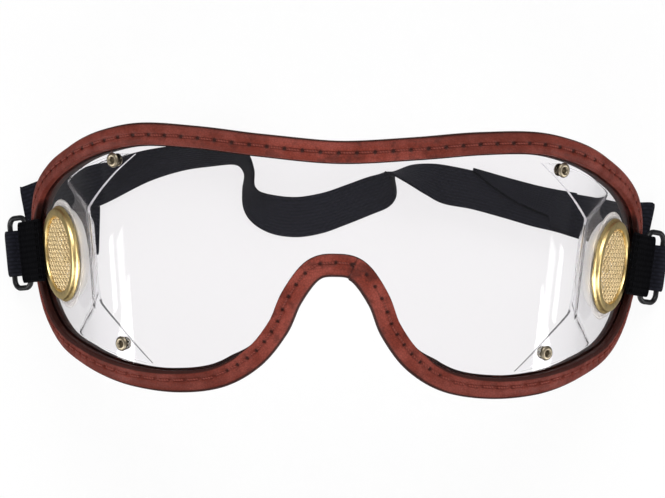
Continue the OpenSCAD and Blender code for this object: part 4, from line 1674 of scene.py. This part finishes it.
@dataclass
class LooseStrap:
    """The elastic between the two rings, as it lies: folded at both ends, on edge in between.

    lay is the height of one lying layer, and skew widens the folded runs. The sewn lap lies on
    the run that is further up the view than lap_y.
    """

    band: Band = field(default_factory=lambda: Band(12.7, 0.9))
    lay: float = 1.0
    skew: float = 1.04
    points: int = 620
    lap_lift: float = 0.15
    lap_y: float = 12.8
    lap_trim: float = 0.995
    lap_edge: tuple[tuple[float, float], ...] = (
        (36.6, -0.9), (42.6, -0.31), (48.2, 0.08), (55.0, 0.3), (59.2, 0.42), (60.0, 0.97),
        (66.0, 0.99))

    def turn_of(self, x: float, y: float, z: float, side: Side, head: float) -> Rows:
        """Stations of a fold: half a circle of one lay, from -60 to 60 degrees.

        Args:
            x: the fold's outermost place.
            y: its place up the view.
            z: height of its lower layer.
            side: which way it bulges.
            head: heading of the width, in degrees.

        Returns:
            Five stations.
        """
        r = self.lay / 2
        return [[x + side.sign * r * (np.cos(a) - 1), y, head, 0, z + r * (1 + np.sin(a)),
                 self.skew] for a in np.radians([-60, -30, 0, 30, 60])]

    def returning(self, rows: Rows) -> Rows:
        """Those stations from the last to the first, the heading turned half round."""
        return [[x, y, head + 180, 0, z, self.skew] for x, y, head, _, z, _ in rows[::-1]]

    def stations(self) -> Array:
        """All stations, from the left eye to the right one.

        Returns:
            Rows of x, y, heading of the width, tilt, lift of the low edge, and widening.
        """
        k, lay = self.skew, self.lay
        ga = np.degrees(ANCHOR.turn)
        eye_end = ANCHOR.out_x - ANCHOR.eye_tail - 0.35
        start = ANCHOR.hinge[0] + eye_end * np.cos(ANCHOR.turn)
        far_l, far_r, near_l, near_r = start + 1.03, start + 1.13, start - 18.7, start - 11.5
        left = [[-start, 0.7, 90 + ga, 0, 0, 1], [-near_l - 1.1, 6.9, 90, 0, 0, k],
                *self.turn_of(-near_l, 7.2, 0, Side.RIGHT, 90),
                [-near_l - 1.1, 7.5, 90, 0, lay, k], [1.4 - far_l, 12.0, 102, 0, lay, k],
                *self.turn_of(-far_l, 12.4, lay, Side.LEFT, 102),
                [1.4 - far_l, 12.8, 102, 0, 2 * lay, k]]
        right = [[far_r - 1.4, 12.1, 259, 0, 2 * lay, k],
                 *self.returning(self.turn_of(far_r, 11.8, lay, Side.RIGHT, 79)),
                 [far_r - 1.4, 11.3, 259, 0, lay, k], [near_r + 1.1, 6.3, 270, 0, lay, k],
                 *self.returning(self.turn_of(near_r, 5.9, 0, Side.LEFT, 90)),
                 [near_r + 1.1, 5.5, 270, 0, 0, k], [start, 0.7, 270 - ga, 0, 0, 1]]
        run = [
            [-78, 16.2, 90, 3, 2 * lay], [-65.5, 20.2, 88, 22, 1.2], [-53.6, 25, 86, 46, 0.3],
            [-44, 27.6, 87, 58, 0], [-35.5, 28.8, 87, 62, 0], [-27.6, 28.6, 62, 68, 0],
            [-24.6, 24.6, 12, 76, 0], [-24.5, 19.6, 12, 72, 0], [-22.4, 15.2, 52, 50, 0],
            [-17.6, 12.8, 78, 34, 0], [-11, 12.2, 88, 29, 0], [-4, 13.5, 89, 28, 0],
            [2.2, 15.8, 92, 31, 0], [8.6, 18.4, 98, 36, 0], [12.8, 20.0, 104, 42, 0],
            [14.6, 21.6, 112, 52, 0], [14.4, 24.2, 150, 76, 0], [15.6, 25.0, 215, 80, 0],
            [19.2, 24.8, 255, 66, 0], [24.4, 23.6, 264, 46, 0], [29.6, 22.2, 266, 30, 0],
            [37.6, 20.8, 264, 31, 0], [46.4, 18.6, 258, 32, 0], [55, 16.5, 256, 29, 0],
            [62.5, 15.1, 257, 25, 0.3], [71.4, 13.3, 262, 9, 1.3], [78.5, 12, 267, 2, 2 * lay]]
        return np.array(left + [[*r, 1] for r in run] + right, float)

    def piece(self) -> Surface:
        """A smooth curve through the stations' middles, turned by heading and tilt.

        The middle stands (width / 2) sin(tilt) over the low edge.

        Returns:
            The band and its sewn lap.
        """
        b = self.stations()
        w, t = self.band.width, self.band.thick
        z = b[:, 4] + t / 2 + w / 2 * np.sin(np.radians(b[:, 3]))
        key = np.column_stack([b[:, 0], b[:, 1], z, b[:, 2], b[:, 3], b[:, 5]])
        fine = catmull(key, np.linspace(0, len(key) - 1, self.points), False)
        h, g = np.radians(fine[:, 3]), np.radians(fine[:, 4])
        across = np.stack([np.cos(h) * np.cos(g), np.sin(h) * np.cos(g), np.sin(g)], 1)
        wide = w / 2 * fine[:, 5:6] * across
        return Surface.joined([self.band.swept(fine[:, :3], wide), self.lap(fine[:, :3], wide)])

    def lap(self, mid: Array, wide: Array) -> Surface:
        """The end sewn back over the right run, from one selvedge to its own free edge.

        Its free edge crosses the run by lap_edge: at each x, a share of the half width.

        Args:
            mid: the strap's middle line [n, 3].
            wide: its half width vectors [n, 3].

        Returns:
            The closed band of the lap.
        """
        x, share = np.array(self.lap_edge).T
        on = (mid[:, 0] > x[0]) & (mid[:, 0] < x[-1]) & (mid[:, 1] > self.lap_y)
        mid, wide = mid[on], wide[on]
        up = unit(np.cross(wide, np.gradient(mid, axis=0)))
        up *= np.sign(up[:, 2:])
        half = (1 + np.interp(mid[:, 0], x, share)) / 2
        centre = mid + wide * (half - 1)[:, None] + up * (self.band.thick + self.lap_lift)
        return self.band.swept(centre, wide * half[:, None] * self.lap_trim)

    def make(self, looks: Looks) -> None:
        """Builds and dresses the strap."""
        add(self.piece().build("elastic_strap", looks.elastic, sharp=80), "frame", "elastic",
            "strap")


EYELETS = Eyelets()
BAFFLE = Baffle()
VENT = Vent()
BINDING = Binding()
ANCHOR = Anchor()


# the studio
@dataclass(frozen=True)
class Lamp:
    """A soft rectangular lamp that looks at the middle of the object; sizes in metres."""

    name: str
    place: tuple[float, float, float]
    size: tuple[float, float]
    watts: float
    aim: tuple[float, float, float] = (0, 0, 0.02)

    def make(self) -> None:
        """Makes the lamp; its -Z turns to the aim."""
        data = bpy.data.lights.new(self.name, "AREA")
        data.shape, data.energy = "RECTANGLE", self.watts
        data.size, data.size_y = self.size
        made = into_scene(self.name, data)
        made.location = self.place
        gaze = Vector(np.array(self.aim) - np.array(self.place))
        made.rotation_euler = gaze.to_track_quat("-Z", "Y").to_euler()


@dataclass
class Studio:
    """Plain pale floor, soft lamps and the camera straight above, as the photograph was taken."""

    focal_px: float = 2288.0
    sensor: float = 36.0
    height: float = 0.6376
    roll: float = 1.3
    centre_px: tuple[float, float] = (336.0, 262.0)
    frame_px: tuple[int, int] = (665, 498)
    sky: float = 0.25
    own_light: float = 0.9
    table_half: float = 3.0
    table_near: tuple[float, float] = (0.08, 0.10)

    def camera(self) -> None:
        """Makes the camera: lens = focal length over the frame's width of a 36 mm sensor."""
        data = bpy.data.cameras.new("camera")
        w, h = self.frame_px
        data.sensor_width, data.lens = self.sensor, self.focal_px / w * self.sensor
        data.shift_x = (w / 2 - self.centre_px[0]) / w
        data.shift_y = (self.centre_px[1] - h / 2) / w
        data.clip_start, data.clip_end = 0.01, 10.0
        made = into_scene("camera", data)
        made.location = (0, 0, self.height)
        made.rotation_euler = (0, 0, np.radians(self.roll))
        bpy.context.scene.camera = made

    def floor(self) -> None:
        """A white table: mostly its own light, and for shadow a share of what falls on it.

        The camera sees its own light, also through clear pieces. A mirrored ray sees it only
        near the object, and finds the rest of the table dark, so that what is polished keeps
        its contrast.
        """
        f = Finish("table")
        camera = f.node("ShaderNodeLightPath", out="Is Camera Ray")
        mirrored = camera.other("Is Glossy Ray")
        bounced = camera.other("Glossy Depth").step(0.4, 0.6)
        place = f.node("ShaderNodeVectorMath", {"operation": "LENGTH"}, {0: f.place()}, "Value")
        near = place.step(*self.table_near[::-1])
        seen = camera.max(camera.other("Is Transmission Ray") * (1.0 - bounced))
        dark = mirrored.max(bounced) * (1.0 - near)
        f.principled(Base_Color=f.mix(dark, (0.94, 0.94, 0.94), (0.12, 0.12, 0.12)),
                     Roughness=0.9, Specular_IOR_Level=0.0)
        f.mixed(seen.max(mirrored * near) * self.own_light, f.node(
            "ShaderNodeEmission", sockets={"Color": (1.0, 1.0, 1.0), "Strength": 1.0}))
        mesh = bpy.data.meshes.new("table")
        r = self.table_half
        mesh.from_pydata([(-r, -r, 0), (r, -r, 0), (r, r, 0), (-r, r, 0)], [], [(0, 1, 2, 3)])
        mesh.materials.append(f.material)
        into_scene("table", mesh)

    def surroundings(self) -> None:
        """Even light from all round: white to the camera, also through clear pieces.

        To all other rays, among them those let through after a mirror, its strength is sky.
        """
        world = bpy.data.worlds.new("surroundings")
        world.use_nodes = True
        tree = Tree(world.node_tree)
        camera = tree.node("ShaderNodeLightPath", out="Is Camera Ray")
        direct = camera.other("Glossy Depth") < 0.5
        seen = camera.other("Is Transmission Ray") * direct + camera
        shown = tree.nodes["Background"].inputs
        tree.put(shown["Color"], (1.0, 1.0, 1.0))
        tree.put(shown["Strength"], seen * (1 - self.sky) + self.sky)
        bpy.context.scene.world = world

    def lamps(self) -> None:
        """Soft panels, and small strips and beads low at the sides that the lens mirrors."""
        Lamp("panel_back", (0.1, 1.15, 1.2), (1.2, 0.9), 18.0).make()
        Lamp("panel_front", (-0.1, -1.2, 1.1), (1.2, 0.8), 9.0).make()
        for name, (x, y, z), size, watts in (
                ("panel", (1.1, -0.5, 0.3), (0.6, 0.4), 7.0),
                ("strip", (1.3, -0.195, 0.14), (0.06, 0.09), 0.12),
                ("bead", (1.2, -0.20, 0.34), (0.07, 0.14), 0.14)):
            for side in Side:
                Lamp(f"{name}_{side.value}", (side.sign * x, y, z), size, watts).make()

    def make(self) -> None:
        """Makes the camera, the floor, the surroundings and the lamps, and sets plain colours."""
        bpy.context.scene.view_settings.view_transform = "Standard"
        for step in (self.camera, self.floor, self.surroundings, self.lamps):
            step()


def main() -> None:
    """Loads the frame, then builds and dresses every piece."""
    logging.basicConfig(level=logging.INFO, format="%(name)s %(message)s")
    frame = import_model()
    LOG.info("frame: %d nodes", len(frame["nodes"]))
    Studio().make()
    looks = Looks()
    for part in (Shield(), BINDING, LooseStrap()):
        part.make(looks)
    for side in Side:
        for part in (VENT, BAFFLE, EYELETS, ANCHOR):
            part.make(looks, side)


if __name__ == "__main__":
    main()
